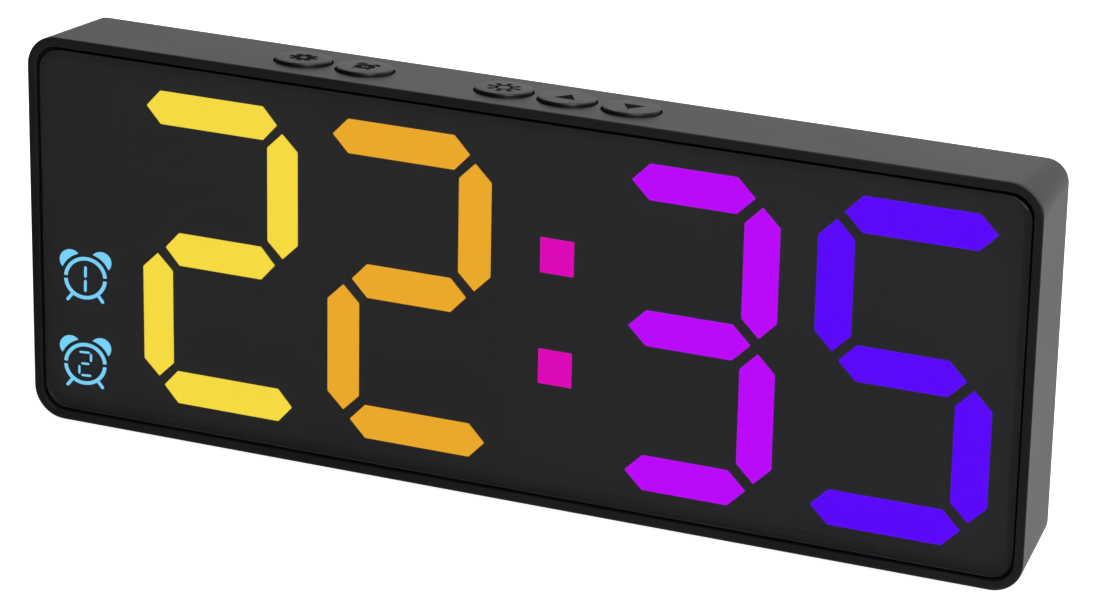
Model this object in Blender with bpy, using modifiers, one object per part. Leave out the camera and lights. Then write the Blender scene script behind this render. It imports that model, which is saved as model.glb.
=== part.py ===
# Digital alarm clock: a drafted tray case that leans back on its sloping underside, a lens that
# fills the front, a lit seven-segment module behind it and five push buttons on the top.
# Case frame: x to the right, y from the front to the back, z up, with its origin in the middle
# of the bottom front edge. The world frame stands the sloping underside level on two feet.

import math

import bpy
import bmesh
from mathutils import Vector

# Case
case_width = 0.163
case_height = 0.0631
case_depth = 0.0174
case_corner_radius = 0.0051
rear_inset = 0.00165
rim_wall = 0.0015
ledge_width = 0.0011
side_wall = 0.0018
back_wall = 0.0016
front_edge_radius = 0.0003
rear_edge_radius = 0.0003

# Clearances
seat_gap = 0.0003
button_gap = 0.00025
cell_gap = 0.0004
overrun = 0.001
bite = 0.0002
weld_distance = 0.000001

# Lens, mask, segments, light box and board, from the front to the back
lens_recess = 0.00025
lens_thickness = 0.001
lens_edge = 0.00025
mask_thickness = 0.0004
segment_rise = 0.00065
web_thickness = 0.0004
light_box_depth = 0.00355
board_thickness = 0.0012
led_size = 0.002
led_height = 0.0008
window_gap = 0.00025
well_gap = 0.0003

# Digits
digit_lift = -0.00045
segment_width = 0.0055
joint_inset = 0.00125
free_end_overrun = 0.0019
idle_setback = 0.002
web_margin = 0.0008
colon_size = 0.0055
colon_lift = -0.0003
colon_spacing = 0.01775

# Alarm icons
icon_spacing = 0.01444
icon_side_inset = 0.00843
icon_bottom_inset = 0.0093
icon_ring_radius = 0.0034
icon_stroke = 0.0007
icon_ring_gap = 0.0006
icon_bell_radius = 0.0018
icon_bell_distance = 0.0042
icon_foot_length = 0.0016
icon_plate_width = 0.0097
icon_plate_height = 0.0104
icon_well_width = 0.0086
icon_plate_corner = 0.0008
icon_digit_stroke = 0.00045
icon_digit_width = 0.0019
icon_digit_height = 0.0044
icon_digit_joint = 0.0003

# Buttons and their switches
button_radius = 0.00435
button_rise = 0.00055
button_edge = 0.0003
button_setback = 0.0085
button_travel = 0.0003
button_pitch = 0.01025
stem_width = 0.004
wing_reach = 0.002
wing_thickness = 0.0009
stem_foot = 0.0005
switch_width = 0.006
switch_depth = 0.0034
switch_height = 0.0034
plunger_radius = 0.0009
plunger_rise = 0.0009
plunger_engagement = 0.0006

# Battery well, cell and door
cell_radius = 0.01
cell_thickness = 0.0032
door_lip = 0.0006
door_thickness = 0.0014
door_edge = 0.0003
skirt_wall = 0.001
skirt_depth = 0.0021
lug_reach = 0.001
lug_thickness = 0.0007
shelf_thickness = 0.0007
well_wall = 0.0013
well_floor = 0.0011
contact_room = 0.0006
contact_thickness = 0.0002
contact_width = 0.003
contact_slot_width = 0.0009
contact_tail = 0.0024
leaf_length = 0.012
leaf_inset = 0.0012
coin_slot_length = 0.013
coin_slot_width = 0.0018
coin_slot_depth = 0.0007
lead_radius = 0.0005
lead_reach = 0.006
lead_bend = 0.0012

# Screws and their posts
post_radius = 0.0037
post_web = 0.0016
screw_radius = 0.0011
screw_head_radius = 0.0021
screw_head_height = 0.0014
screw_head_edge = 0.0003
screw_end_cover = 0.0006
pilot_gap = 0.0003
counterbore_gap = 0.0004

# Parts on the back of the board
usb_width = 0.00894
usb_height = 0.00326
usb_wall = 0.0003
usb_floor = 0.0005
usb_recess = 0.0003
usb_corner = 0.0013
tongue_width = 0.0067
tongue_height = 0.0007
tongue_recess = 0.0008
buzzer_radius = 0.006
buzzer_room = 0.0021
buzzer_port_radius = 0.0012
buzzer_port_depth = 0.001
buzzer_edge = 0.0004
sound_hole_radius = 0.0007
sound_ring_radius = 0.0032
controller_width = 0.0103
controller_length = 0.0075
driver_width = 0.0087
driver_length = 0.0039
chip_lift = -0.001
chip_height = 0.0022
chip_edge = 0.0002
chip_leg_width = 0.0004
chip_leg_reach = 0.0012
chip_leg_thickness = 0.0003
chip_leg_pitch = 0.00127
crystal_lift = 0.011
crystal_radius = 0.0012
crystal_length = 0.006
capacitor_lift = 0.0115
capacitor_radius = 0.00315
capacitor_room = 0.0021
capacitor_base = 0.0066
capacitor_base_height = 0.0009
capacitor_edge = 0.0004

# Feet
foot_length = 0.014
foot_width = 0.0105
foot_corner = 0.002
foot_thickness = 0.0008
foot_proud = 0.0005
foot_end_inset = 0.0215
foot_setback = 0.0045

# Counts and proportions
corner_segments = 6
edge_segments = 2
round_segments = 32
small_segments = 16
lug_count = 3
lug_angle = math.radians(26)
notch_angle = math.radians(36)
twist_angle = math.radians(45)
column_spacing_share = 0.1325
row_spacing_share = 0.3651
digit_centre_shares = {
    "hours_tens": -0.3036,
    "hours_ones": -0.1082,
    "minutes_tens": 0.1723,
    "minutes_ones": 0.3763,
}
colon_centre_share = 0.0407
first_pair_share = -0.2357
trio_share = -0.0326
well_share = -0.11
buzzer_share = 0.135
usb_share = 0.442
controller_share = 0.255
driver_share = 0.046
digit_shows = {
    "hours_tens": "abged",
    "hours_ones": "abged",
    "minutes_tens": "abgcd",
    "minutes_ones": "afgcd",
}

# Places that follow from the sizes
draft_angle = math.atan2(rear_inset, case_depth)
middle_height = case_height / 2
column_spacing = case_width * column_spacing_share
row_spacing = case_height * row_spacing_share
first_pair_start = case_width * first_pair_share
trio_start = case_width * trio_share
well_x = case_width * well_share
buzzer_x = case_width * buzzer_share
usb_x = case_width * usb_share
controller_x = case_width * controller_share
driver_x = case_width * driver_share
foot_x = case_width / 2 - foot_end_inset
digit_middle = middle_height + digit_lift
mask_front = lens_recess + lens_thickness + seat_gap
ledge_front = mask_front
mask_rear = mask_front + mask_thickness
web_front = mask_rear + seat_gap
segment_front = web_front - segment_rise
web_rear = web_front + web_thickness
light_box_front = web_rear + seat_gap
light_box_rear = light_box_front + light_box_depth
board_front = light_box_rear + seat_gap
board_rear = board_front + board_thickness
parts_front = board_rear + seat_gap
back_inner = case_depth - back_wall
cavity_rear_inset = rear_inset + side_wall
cavity_front_inset = rim_wall + ledge_width

# Battery stack, from the door inwards
door_inner = case_depth - door_thickness
shelf_rear = door_inner - seat_gap
shelf_front = shelf_rear - shelf_thickness
cell_rear = door_inner - cell_gap
cell_front = cell_rear - cell_thickness
pocket_floor = cell_front - contact_room
well_front = pocket_floor - well_floor
pocket_radius = cell_radius + cell_gap
leaf_offset = cell_radius - leaf_inset
skirt_outer = pocket_radius + skirt_wall
shelf_radius = skirt_outer + seat_gap
lug_radius = skirt_outer + lug_reach
groove_radius = lug_radius + seat_gap
door_radius = lug_radius + door_lip
door_recess_radius = door_radius + seat_gap
well_radius = door_recess_radius + well_wall
skirt_end = door_inner - skirt_depth
groove_front = skirt_end - seat_gap

# Screw stack, from the light box to the back
post_front = parts_front
web_back = post_front + post_web
head_front = web_back + seat_gap
screw_end = light_box_front + screw_end_cover + pilot_gap

materials = {}


def clear_scene():
    for old in list(bpy.data.objects):
        bpy.data.objects.remove(old, do_unlink=True)


def new_collection(name):
    collection = bpy.data.collections.new(name)
    bpy.context.scene.collection.children.link(collection)
    return collection


def add_material(name, colour, roughness, metallic=0.0):
    material = bpy.data.materials.new(name)
    material.use_nodes = True
    shader = material.node_tree.nodes["Principled BSDF"]
    shader.inputs["Base Color"].default_value = (*colour, 1.0)
    shader.inputs["Roughness"].default_value = roughness
    shader.inputs["Metallic"].default_value = metallic
    material.diffuse_color = (*colour, 1.0)
    materials[name] = material


def add_empty(name, location, turn, parent=None):
    empty = bpy.data.objects.new(name, None)
    empty.empty_display_size = case_depth
    empty.location = location
    empty.rotation_euler = (turn, 0, 0)
    empty.parent = parent
    part_collection.objects.link(empty)
    return empty


def add_object(name, mesh, frame, location=(0, 0, 0)):
    item = bpy.data.objects.new(name, mesh)
    item.parent = frame
    item.location = location
    part_collection.objects.link(item)
    return item


def mesh_from(build, name):
    mesh = bpy.data.meshes.new(name)
    bmesh.ops.recalc_face_normals(build, faces=build.faces)
    build.to_mesh(mesh)
    build.free()
    return mesh


def finish(item, material):
    item.data.materials.clear()
    item.data.materials.append(materials[material])
    item.data.shade_smooth()
    item.data.set_sharp_from_angle(angle=math.radians(35))


def as_tool(item):
    part_collection.objects.unlink(item)
    cutter_collection.objects.link(item)
    item.hide_render = True
    item.display_type = "WIRE"
    return item


def combine(target, tool, operation):
    modifier = target.modifiers.new(operation.lower(), "BOOLEAN")
    modifier.operation = operation
    modifier.solver = "EXACT"
    modifier.object = as_tool(tool)


def cut(target, tool):
    combine(target, tool, "DIFFERENCE")


def fuse(target, tool):
    combine(target, tool, "UNION")


def outer_inset(y):
    return rear_inset * y / case_depth


def cavity_inset(y):
    return cavity_front_inset + (cavity_rear_inset - cavity_front_inset) * y / case_depth


# A block with the outline of the case, its front and rear faces inset from the front outline
def outline_block(name, front, rear, front_inset, rear_side_inset, front_edge=0, rear_edge=0):
    build = bmesh.new()
    bmesh.ops.create_cube(build, size=1)
    bmesh.ops.scale(build, vec=(case_width, rear - front, case_height), verts=build.verts)
    bmesh.ops.translate(build, vec=(0, (front + rear) / 2, 0), verts=build.verts)
    middle = (front + rear) / 2
    long_edges = [e for e in build.edges if (e.verts[0].co.y - middle) * (e.verts[1].co.y - middle) < 0]
    bmesh.ops.bevel(build, geom=long_edges, offset=case_corner_radius, segments=corner_segments,
                    profile=0.5, affect="EDGES")
    core_x = case_width / 2 - case_corner_radius
    core_z = case_height / 2 - case_corner_radius
    for vertex in build.verts:
        inset = front_inset if vertex.co.y < middle else rear_side_inset
        core = Vector((max(-core_x, min(core_x, vertex.co.x)), vertex.co.y,
                       max(-core_z, min(core_z, vertex.co.z))))
        vertex.co = core + (vertex.co - core) * (1 - inset / case_corner_radius)
    for side, radius in ((-1, front_edge), (1, rear_edge)):
        if radius > 0:
            loop = [e for e in build.edges if all((v.co.y - middle) * side > 0 for v in e.verts)]
            bmesh.ops.bevel(build, geom=loop, offset=radius, segments=edge_segments, profile=0.5,
                            affect="EDGES")
    return add_object(name, mesh_from(build, name), clock_frame, (0, 0, middle_height))


def box(name, size, centre, frame=None, edge=0):
    build = bmesh.new()
    bmesh.ops.create_cube(build, size=1)
    bmesh.ops.scale(build, vec=size, verts=build.verts)
    if edge > 0:
        bmesh.ops.bevel(build, geom=build.edges[:], offset=edge, segments=1, affect="EDGES")
    return add_object(name, mesh_from(build, name), frame or clock_frame, centre)


# A round bar along y from front to rear, at x and z in the case frame
def bar(name, radius, front, rear, x, z, segments=round_segments):
    build = bmesh.new()
    bmesh.ops.create_cone(build, cap_ends=True, segments=segments, radius1=radius, radius2=radius,
                          depth=rear - front)
    item = add_object(name, mesh_from(build, name), clock_frame, (x, (front + rear) / 2, z))
    item.rotation_euler = (math.radians(90), 0, 0)
    return item


# A turned piece: a profile of radius and height, from the top axis point down the outer side
def turned(name, profile, location, frame=None, segments=round_segments, along_y=False):
    build = bmesh.new()
    points = [build.verts.new((radius, 0, height)) for radius, height in profile]
    for first, second in zip(points, points[1:]):
        build.edges.new((first, second))
    mesh = bpy.data.meshes.new(name)
    build.to_mesh(mesh)
    build.free()
    item = add_object(name, mesh, frame or clock_frame, location)
    if along_y:
        item.rotation_euler = (math.radians(-90), 0, 0)
    screw = item.modifiers.new("turn", "SCREW")
    screw.steps = segments
    screw.render_steps = segments
    screw.use_merge_vertices = True
    screw.merge_threshold = weld_distance
    return item


# Flat outlines of x and z points extruded from front to rear along y
def outline_solid(name, outlines, front, rear, location=(0, 0, 0), frame=None, lying=False):
    curve = bpy.data.curves.new(name, "CURVE")
    curve.dimensions = "2D"
    curve.fill_mode = "BOTH"
    curve.extrude = (rear - front) / 2
    for outline in outlines:
        spline = curve.splines.new("POLY")
        spline.points.add(len(outline) - 1)
        for point, (across, up) in zip(spline.points, outline):
            point.co = (across, up, 0, 1)
        spline.use_cyclic_u = True
    drawn = bpy.data.objects.new(name + "_outline", curve)
    part_collection.objects.link(drawn)
    graph = bpy.context.evaluated_depsgraph_get()
    mesh = bpy.data.meshes.new_from_object(drawn.evaluated_get(graph))
    bpy.data.objects.remove(drawn, do_unlink=True)
    build = bmesh.new()
    build.from_mesh(mesh)
    bmesh.ops.remove_doubles(build, verts=build.verts, dist=weld_distance)
    if not lying:
        for vertex in build.verts:
            vertex.co = Vector((vertex.co.x, -vertex.co.z, vertex.co.y))
        bmesh.ops.translate(build, vec=(0, (front + rear) / 2, 0), verts=build.verts)
    else:
        bmesh.ops.translate(build, vec=(0, 0, (front + rear) / 2), verts=build.verts)
    bpy.data.meshes.remove(mesh)
    return add_object(name, mesh_from(build, name), frame or clock_frame, location)


def arc(radius, start, end, count, x=0, z=0):
    step = (end - start) / count
    return [(x + radius * math.cos(start + step * i), z + radius * math.sin(start + step * i))
            for i in range(count + 1)]


def sector(inner, outer, centre, spread, count=4):
    start = centre - spread / 2
    end = centre + spread / 2
    return arc(outer, start, end, count) + arc(inner, end, start, count)


def rounded_rectangle(width, height, radius, x=0, z=0):
    points = []
    for quarter in range(4):
        side_x = 1 if quarter in (0, 3) else -1
        side_z = 1 if quarter < 2 else -1
        start = quarter * math.pi / 2
        points += arc(radius, start, start + math.pi / 2, 4, x + side_x * (width / 2 - radius),
                      z + side_z * (height / 2 - radius))
    return points


def rectangle(width, height, x=0, z=0):
    half_x = width / 2
    half_z = height / 2
    return [(x - half_x, z - half_z), (x + half_x, z - half_z), (x + half_x, z + half_z),
            (x - half_x, z + half_z)]


# One pointed segment between two tips, grown outwards by a margin
def segment_outline(first, second, width, margin=0):
    along = (Vector(second) - Vector(first)).normalized()
    across = Vector((-along.y, along.x))
    half = width / 2 + margin
    start = Vector(first) - along * margin * math.sqrt(2)
    end = Vector(second) + along * margin * math.sqrt(2)
    points = [start, start + (along - across) * half, end - (along + across) * half, end,
              end - (along - across) * half, start + (along + across) * half]
    return [tuple(point) for point in points]


# Tips of the seven segments of a digit. A bar whose outer neighbour is dark runs past the column,
# and the dark neighbour stands back from it.
def digit_segments(name):
    centre = digit_centre_shares[name] * case_width
    lit = digit_shows[name]
    left = centre - column_spacing / 2
    right = centre + column_spacing / 2
    rows = {"a": digit_middle + row_spacing, "g": digit_middle, "d": digit_middle - row_spacing}
    neighbours = {"a": "fb", "d": "ec"}
    tips = {}
    for key, height in rows.items():
        ends = [left + joint_inset, right - joint_inset]
        dark = [side for side in (0, 1) if key in neighbours and neighbours[key][side] not in lit]
        if len(dark) == 1 and not (dark[0] == 0 and "f" not in lit and "e" not in lit):
            ends[dark[0]] += (free_end_overrun + joint_inset) * (1 if dark[0] else -1)
        tips[key] = ((ends[0], height), (ends[1], height))
    for key, x, low, high in (("f", left, "g", "a"), ("b", right, "g", "a"),
                              ("e", left, "d", "g"), ("c", right, "d", "g")):
        bottom = rows[low] + joint_inset
        top = rows[high] - joint_inset
        if key not in lit:
            if low == "d":
                bottom += idle_setback
            else:
                top -= idle_setback
        tips[key] = ((x, bottom), (x, top))
    return tips


def digit_outlines(name, margin=0):
    return [segment_outline(first, second, segment_width, margin)
            for first, second in digit_segments(name).values()]


def colon_places():
    x = colon_centre_share * case_width
    middle = middle_height + colon_lift
    return [(x, middle - colon_spacing / 2), (x, middle + colon_spacing / 2)]


def icon_places():
    x = icon_side_inset - case_width / 2
    return {"alarm_one_icon": (x, icon_bottom_inset + icon_spacing),
            "alarm_two_icon": (x, icon_bottom_inset)}


def all_windows(margin, icon_width=icon_plate_width):
    windows = []
    for name in digit_centre_shares:
        windows += digit_outlines(name, margin)
    for x, z in colon_places():
        windows.append(rectangle(colon_size + 2 * margin, colon_size + 2 * margin, x, z))
    for x, z in icon_places().values():
        windows.append(rounded_rectangle(icon_width + 2 * margin, icon_plate_height + 2 * margin,
                                         icon_plate_corner + margin, x, z))
    return windows


def button_places():
    pair = [first_pair_start + button_pitch * i for i in range(2)]
    trio = [trio_start + button_pitch * i for i in range(3)]
    names = ("settings", "alarm", "brightness", "up", "down")
    return dict(zip(names, pair + trio))


def post_places():
    columns = (digit_centre_shares["hours_tens"] * case_width,
               digit_centre_shares["minutes_ones"] * case_width)
    return [(x, digit_middle + side * row_spacing / 2) for x in columns for side in (1, -1)]


def build_case():
    case = outline_block("case_shell", 0, case_depth, 0, rear_inset, front_edge_radius, rear_edge_radius)
    cut(case, outline_block("lens_pocket", -overrun, ledge_front, rim_wall, rim_wall))
    cut(case, outline_block("cavity", 0, back_inner, cavity_inset(0), cavity_inset(back_inner)))
    wall_middle = case_depth - back_wall / 2
    for number, (x, z) in enumerate(post_places(), 1):
        fuse(case, bar(f"post_{number}", post_radius, post_front, wall_middle, x, z, small_segments))
    fuse(case, bar("well_body", well_radius, well_front, wall_middle, well_x, middle_height))
    for number, (x, z) in enumerate(post_places(), 1):
        cut(case, bar(f"screw_hole_{number}", screw_radius + pilot_gap, post_front - overrun,
                      case_depth, x, z, small_segments))
        cut(case, bar(f"counterbore_{number}", screw_head_radius + counterbore_gap, web_back,
                      case_depth + overrun, x, z, small_segments))
    cut_battery_well(case)
    usb_hole = rounded_rectangle(usb_width + 2 * seat_gap, usb_height + 2 * seat_gap,
                                 usb_corner + seat_gap, usb_x, middle_height)
    cut(case, outline_solid("usb_hole", [usb_hole], back_inner - overrun, case_depth + overrun))
    sound_holes = [arc(sound_hole_radius, 0, 2 * math.pi, 12, buzzer_x, middle_height)[1:]]
    for x, z in arc(sound_ring_radius, 0, 2 * math.pi, 6, buzzer_x, middle_height)[1:]:
        sound_holes.append(arc(sound_hole_radius, 0, 2 * math.pi, 12, x, z)[1:])
    cut(case, outline_solid("sound_holes", sound_holes, back_inner - overrun, case_depth + overrun))
    for name, x in button_places().items():
        hole = turned(f"{name}_hole", [(0, overrun), (button_radius + button_gap, overrun),
                                       (button_radius + button_gap, -cavity_front_inset - overrun),
                                       (0, -cavity_front_inset - overrun)],
                      (x, button_setback, 0), top_frame)
        cut(case, hole)
    for side in (-1, 1):
        pocket = rounded_rectangle(foot_length + 2 * seat_gap, foot_width + 2 * seat_gap,
                                   foot_corner + seat_gap)
        cut(case, outline_solid(f"foot_pocket_{side}", [pocket], -overrun, foot_thickness + seat_gap,
                                (side * foot_x, foot_y, 0), base_frame, lying=True))
    finish(case, "black_case")


def cut_battery_well(case):
    profile = [(0, case_depth + overrun), (door_recess_radius, case_depth + overrun),
               (door_recess_radius, shelf_rear), (shelf_radius, shelf_rear),
               (shelf_radius, shelf_front), (groove_radius, shelf_front),
               (groove_radius, groove_front), (pocket_radius, groove_front),
               (pocket_radius, pocket_floor), (0, pocket_floor)]
    cut(case, turned("well_room", profile, (well_x, 0, middle_height), along_y=True))
    step = 2 * math.pi / lug_count
    notches = [sector(pocket_radius, groove_radius, step * i - twist_angle, notch_angle)
               for i in range(lug_count)]
    cut(case, outline_solid("lug_notches", notches, groove_front + seat_gap, shelf_rear + seat_gap,
                            (well_x, 0, middle_height)))
    cut(case, box("leaf_slot", (contact_slot_width, 2 * well_floor + contact_room,
                                contact_width + 2 * seat_gap),
                  (well_x - leaf_offset, well_front, middle_height)))
    side_slot_rear = groove_front + seat_gap
    side_slot_length = side_slot_rear - well_front + overrun
    cut(case, box("side_slot", (contact_slot_width, side_slot_length, contact_width + 2 * seat_gap),
                  (well_x + side_contact_x, side_slot_rear - side_slot_length / 2, middle_height)))


def build_front():
    lens = outline_block("front_lens", lens_recess, lens_recess + lens_thickness, rim_wall + seat_gap,
                         rim_wall + seat_gap, lens_edge)
    finish(lens, "smoked_lens")
    edge = cavity_inset(mask_rear) + seat_gap
    mask = outline_block("mask_plate", mask_front, mask_rear, edge, edge)
    cut(mask, outline_solid("mask_windows", all_windows(window_gap), mask_front - overrun,
                            mask_rear + overrun))
    finish(mask, "black_mask")


def build_digits():
    tints = {"hours_tens": "yellow_segments", "hours_ones": "orange_segments",
             "minutes_tens": "violet_segments", "minutes_ones": "blue_segments"}
    for name, tint in tints.items():
        places = [point for tips in digit_segments(name).values() for point in tips]
        low_x = min(x for x, z in places) - web_margin
        high_x = max(x for x, z in places) + web_margin
        height = 2 * row_spacing + segment_width + 2 * web_margin
        web = box(f"{name}_segments", (high_x - low_x, web_rear - web_front, height),
                  ((low_x + high_x) / 2, (web_front + web_rear) / 2, digit_middle))
        fuse(web, outline_solid(f"{name}_raised", digit_outlines(name), segment_front,
                                web_front + bite))
        finish(web, tint)
    places = colon_places()
    x = places[0][0]
    height = colon_spacing + colon_size + 2 * web_margin
    web = box("colon_dots", (colon_size + 2 * web_margin, web_rear - web_front, height),
              (x, (web_front + web_rear) / 2, middle_height + colon_lift))
    dots = [rectangle(colon_size, colon_size, x, z) for x, z in places]
    fuse(web, outline_solid("colon_raised", dots, segment_front, web_front + bite))
    finish(web, "magenta_segments")


def icon_outlines():
    gap = icon_ring_gap / icon_ring_radius
    outer = icon_ring_radius + icon_stroke / 2
    inner = icon_ring_radius - icon_stroke / 2
    rings = []
    for start in (0, math.pi):
        rings.append(sector(inner, outer, start + math.pi / 2, math.pi - gap, 12))
    bells = []
    for side in (-1, 1):
        tilt = math.pi / 2 - side * math.radians(42)
        centre = (icon_bell_distance * math.cos(tilt), icon_bell_distance * math.sin(tilt))
        bells.append(arc(icon_bell_radius, tilt - math.pi / 2, tilt + math.pi / 2, 10, *centre))
    feet = []
    for side in (-1, 1):
        tilt = -math.pi / 2 + side * math.radians(38)
        out = Vector((math.cos(tilt), math.sin(tilt)))
        across = Vector((-out.y, out.x)) * icon_stroke / 2
        start = out * icon_ring_radius
        end = out * (icon_ring_radius + icon_foot_length)
        feet.append([tuple(p) for p in (start - across, end - across, end + across, start + across)])
    return rings + bells, feet


# The plain figure inside an icon, as thin bars between the points of its grid
def icon_figure(shown):
    half_x = icon_digit_width / 2
    half_z = icon_digit_height / 2
    bars = {"a": ((-half_x, half_z), (half_x, half_z)), "g": ((-half_x, 0), (half_x, 0)),
            "d": ((-half_x, -half_z), (half_x, -half_z)), "b": ((half_x, 0), (half_x, half_z)),
            "e": ((-half_x, -half_z), (-half_x, 0)), "i": ((0, 0), (0, half_z)),
            "j": ((0, -half_z), (0, 0))}
    outlines = []
    for key in shown:
        first = Vector(bars[key][0])
        second = Vector(bars[key][1])
        along = (second - first).normalized() * icon_digit_joint
        outlines.append(segment_outline(first + along, second - along, icon_digit_stroke))
    return outlines


def build_icons():
    figures = {"alarm_one_icon": "ij", "alarm_two_icon": "abged"}
    shapes, feet = icon_outlines()
    for name, (x, z) in icon_places().items():
        plate = outline_solid(name, [rounded_rectangle(icon_plate_width, icon_plate_height,
                                                       icon_plate_corner)],
                              web_front, web_rear, (x, 0, z))
        fuse(plate, outline_solid(f"{name}_raised", shapes + icon_figure(figures[name]),
                                  segment_front, web_front + bite, (x, 0, z)))
        fuse(plate, outline_solid(f"{name}_feet", feet, segment_front, web_front + bite, (x, 0, z)))
        finish(plate, "icon_blue")


def led_places():
    places = []
    for name in digit_centre_shares:
        for first, second in digit_segments(name).values():
            places.append(((first[0] + second[0]) / 2, (first[1] + second[1]) / 2))
    return places + colon_places() + list(icon_places().values())


def build_module():
    edge = cavity_inset(light_box_rear) + seat_gap
    light_box = outline_block("light_box", light_box_front, light_box_rear, edge, edge)
    wells = all_windows(well_gap, icon_well_width)
    cut(light_box, outline_solid("light_wells", wells, light_box_front - overrun,
                                 light_box_rear + overrun))
    board_edge = cavity_inset(board_rear) + seat_gap
    board = outline_block("main_board", board_front, board_rear, board_edge, board_edge)
    for number, (x, z) in enumerate(post_places(), 1):
        cut(light_box, bar(f"pilot_{number}", screw_radius + pilot_gap,
                           light_box_front + screw_end_cover, light_box_rear + overrun, x, z,
                           small_segments))
        cut(board, bar(f"board_hole_{number}", screw_radius + pilot_gap, board_front - overrun,
                       board_rear + overrun, x, z, small_segments))
    leds = [rectangle(led_size, led_size, x, z) for x, z in led_places()]
    fuse(board, outline_solid("leds", leds, board_front - led_height, board_front + bite))
    finish(light_box, "white_frame")
    finish(board, "green_board")


# Height of the top of the case above the bottom front edge, at a depth y
def top_height(y):
    return case_height - outer_inset(y)


def build_buttons():
    plunger_y = parts_front + switch_depth / 2
    cap_end = button_travel + seat_gap + outer_inset(button_setback) - cavity_inset(button_setback)
    stem_front = parts_front + seat_gap - button_setback
    stem_rear = math.sqrt(button_radius ** 2 - (stem_width / 2) ** 2) - seat_gap
    wing_top = outer_inset(parts_front) - cavity_inset(parts_front) - seat_gap
    stem_end = wing_top - wing_thickness - stem_foot
    switch_top = top_height(plunger_y) + stem_end - seat_gap - plunger_rise
    for name, x in button_places().items():
        cap = turned(f"{name}_button", [(0, button_rise), (button_radius - button_edge, button_rise),
                                        *cap_round(), (button_radius, cap_end), (0, cap_end)],
                     (x, button_setback, 0), top_frame)
        stem_top = (cap_end + button_rise) / 2
        fuse(cap, box(f"{name}_stem", (stem_width, stem_rear - stem_front, stem_top - stem_end),
                      (x, button_setback + (stem_front + stem_rear) / 2, (stem_top + stem_end) / 2),
                      top_frame))
        wing_rear = button_radius + button_gap + wing_reach
        fuse(cap, box(f"{name}_wing", (stem_width, wing_rear - stem_front - bite, wing_thickness),
                      (x, button_setback + (stem_front + bite + wing_rear) / 2,
                       wing_top - wing_thickness / 2), top_frame))
        finish(cap, "black_button")
        body = box(f"{name}_switch", (switch_width, switch_depth, switch_height),
                   (x, plunger_y, switch_top - switch_height / 2), edge=chip_edge)
        hole_depth = plunger_engagement + button_travel + 2 * seat_gap
        cut(body, turned(f"{name}_switch_hole",
                         [(0, overrun), (plunger_radius + seat_gap, overrun),
                          (plunger_radius + seat_gap, -hole_depth), (0, -hole_depth)],
                         (x, plunger_y, switch_top), segments=small_segments))
        finish(body, "black_switch")
        plunger = turned(f"{name}_switch_plunger",
                         [(0, plunger_rise), (plunger_radius, plunger_rise),
                          (plunger_radius, -plunger_engagement), (0, -plunger_engagement)],
                         (x, plunger_y, switch_top), segments=small_segments)
        finish(plunger, "white_plunger")


# The rounded rim of a button cap, between its top and its side
def cap_round():
    count = 3
    return [(button_radius - button_edge + button_edge * math.sin(math.pi / 2 * i / count),
             button_rise - button_edge + button_edge * math.cos(math.pi / 2 * i / count))
            for i in range(1, count + 1)]


def build_battery():
    place = (well_x, 0, middle_height)
    profile = [(0, case_depth), (door_radius - door_edge, case_depth),
               (door_radius, case_depth - door_edge), (door_radius, door_inner),
               (skirt_outer, door_inner), (skirt_outer, skirt_end), (pocket_radius, skirt_end),
               (pocket_radius, door_inner), (0, door_inner)]
    door = turned("battery_door", profile, place, along_y=True)
    step = 2 * math.pi / lug_count
    lugs = [sector(pocket_radius + skirt_wall / 2, lug_radius, step * i, lug_angle)
            for i in range(lug_count)]
    fuse(door, outline_solid("door_lugs", lugs, skirt_end, skirt_end + lug_thickness, place))
    coin_slot = rounded_rectangle(coin_slot_length, coin_slot_width, coin_slot_width / 2 - bite)
    cut(door, outline_solid("coin_slot", [coin_slot], case_depth - coin_slot_depth,
                            case_depth + overrun, place))
    finish(door, "black_case")
    cell = turned("coin_cell", [(0, cell_rear), (cell_radius - door_edge, cell_rear),
                                (cell_radius, cell_rear - door_edge),
                                (cell_radius, cell_front + door_edge),
                                (cell_radius - door_edge, cell_front), (0, cell_front)],
                  place, along_y=True)
    finish(cell, "cell_steel")
    build_contacts()


# Both contacts are flat strips: a leaf under the cell with a tail through the floor of the well,
# and a straight strip beside the cell
def build_contacts():
    leaf_y = (pocket_floor + cell_front) / 2
    tail_end = well_front - contact_tail + contact_thickness
    build = bmesh.new()
    across = contact_width / 2
    route = [(-leaf_offset, tail_end), (-leaf_offset, leaf_y), (leaf_length - leaf_offset, leaf_y)]
    rows = [[build.verts.new((x, y, z)) for z in (-across, across)] for x, y in route]
    for first, second in zip(rows, rows[1:]):
        build.faces.new((first[0], first[1], second[1], second[0]))
    leaf = add_object("negative_contact", mesh_from(build, "negative_contact"), clock_frame,
                      (well_x, 0, middle_height))
    sheet = leaf.modifiers.new("sheet", "SOLIDIFY")
    sheet.thickness = contact_thickness
    sheet.offset = 0
    finish(leaf, "spring_metal")
    strip_end = groove_front - seat_gap
    strip = box("positive_contact", (contact_thickness, strip_end - tail_end, contact_width),
                (well_x + side_contact_x, (strip_end + tail_end) / 2, middle_height))
    finish(strip, "spring_metal")
    for name, x, side, tint in (("negative_lead", -leaf_offset, -1, "black_wire"),
                                ("positive_lead", side_contact_x, 1, "red_wire")):
        start_x = x + side * (contact_thickness / 2 + seat_gap)
        build_lead(name, start_x, x + side * lead_reach, side, tint)


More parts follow.
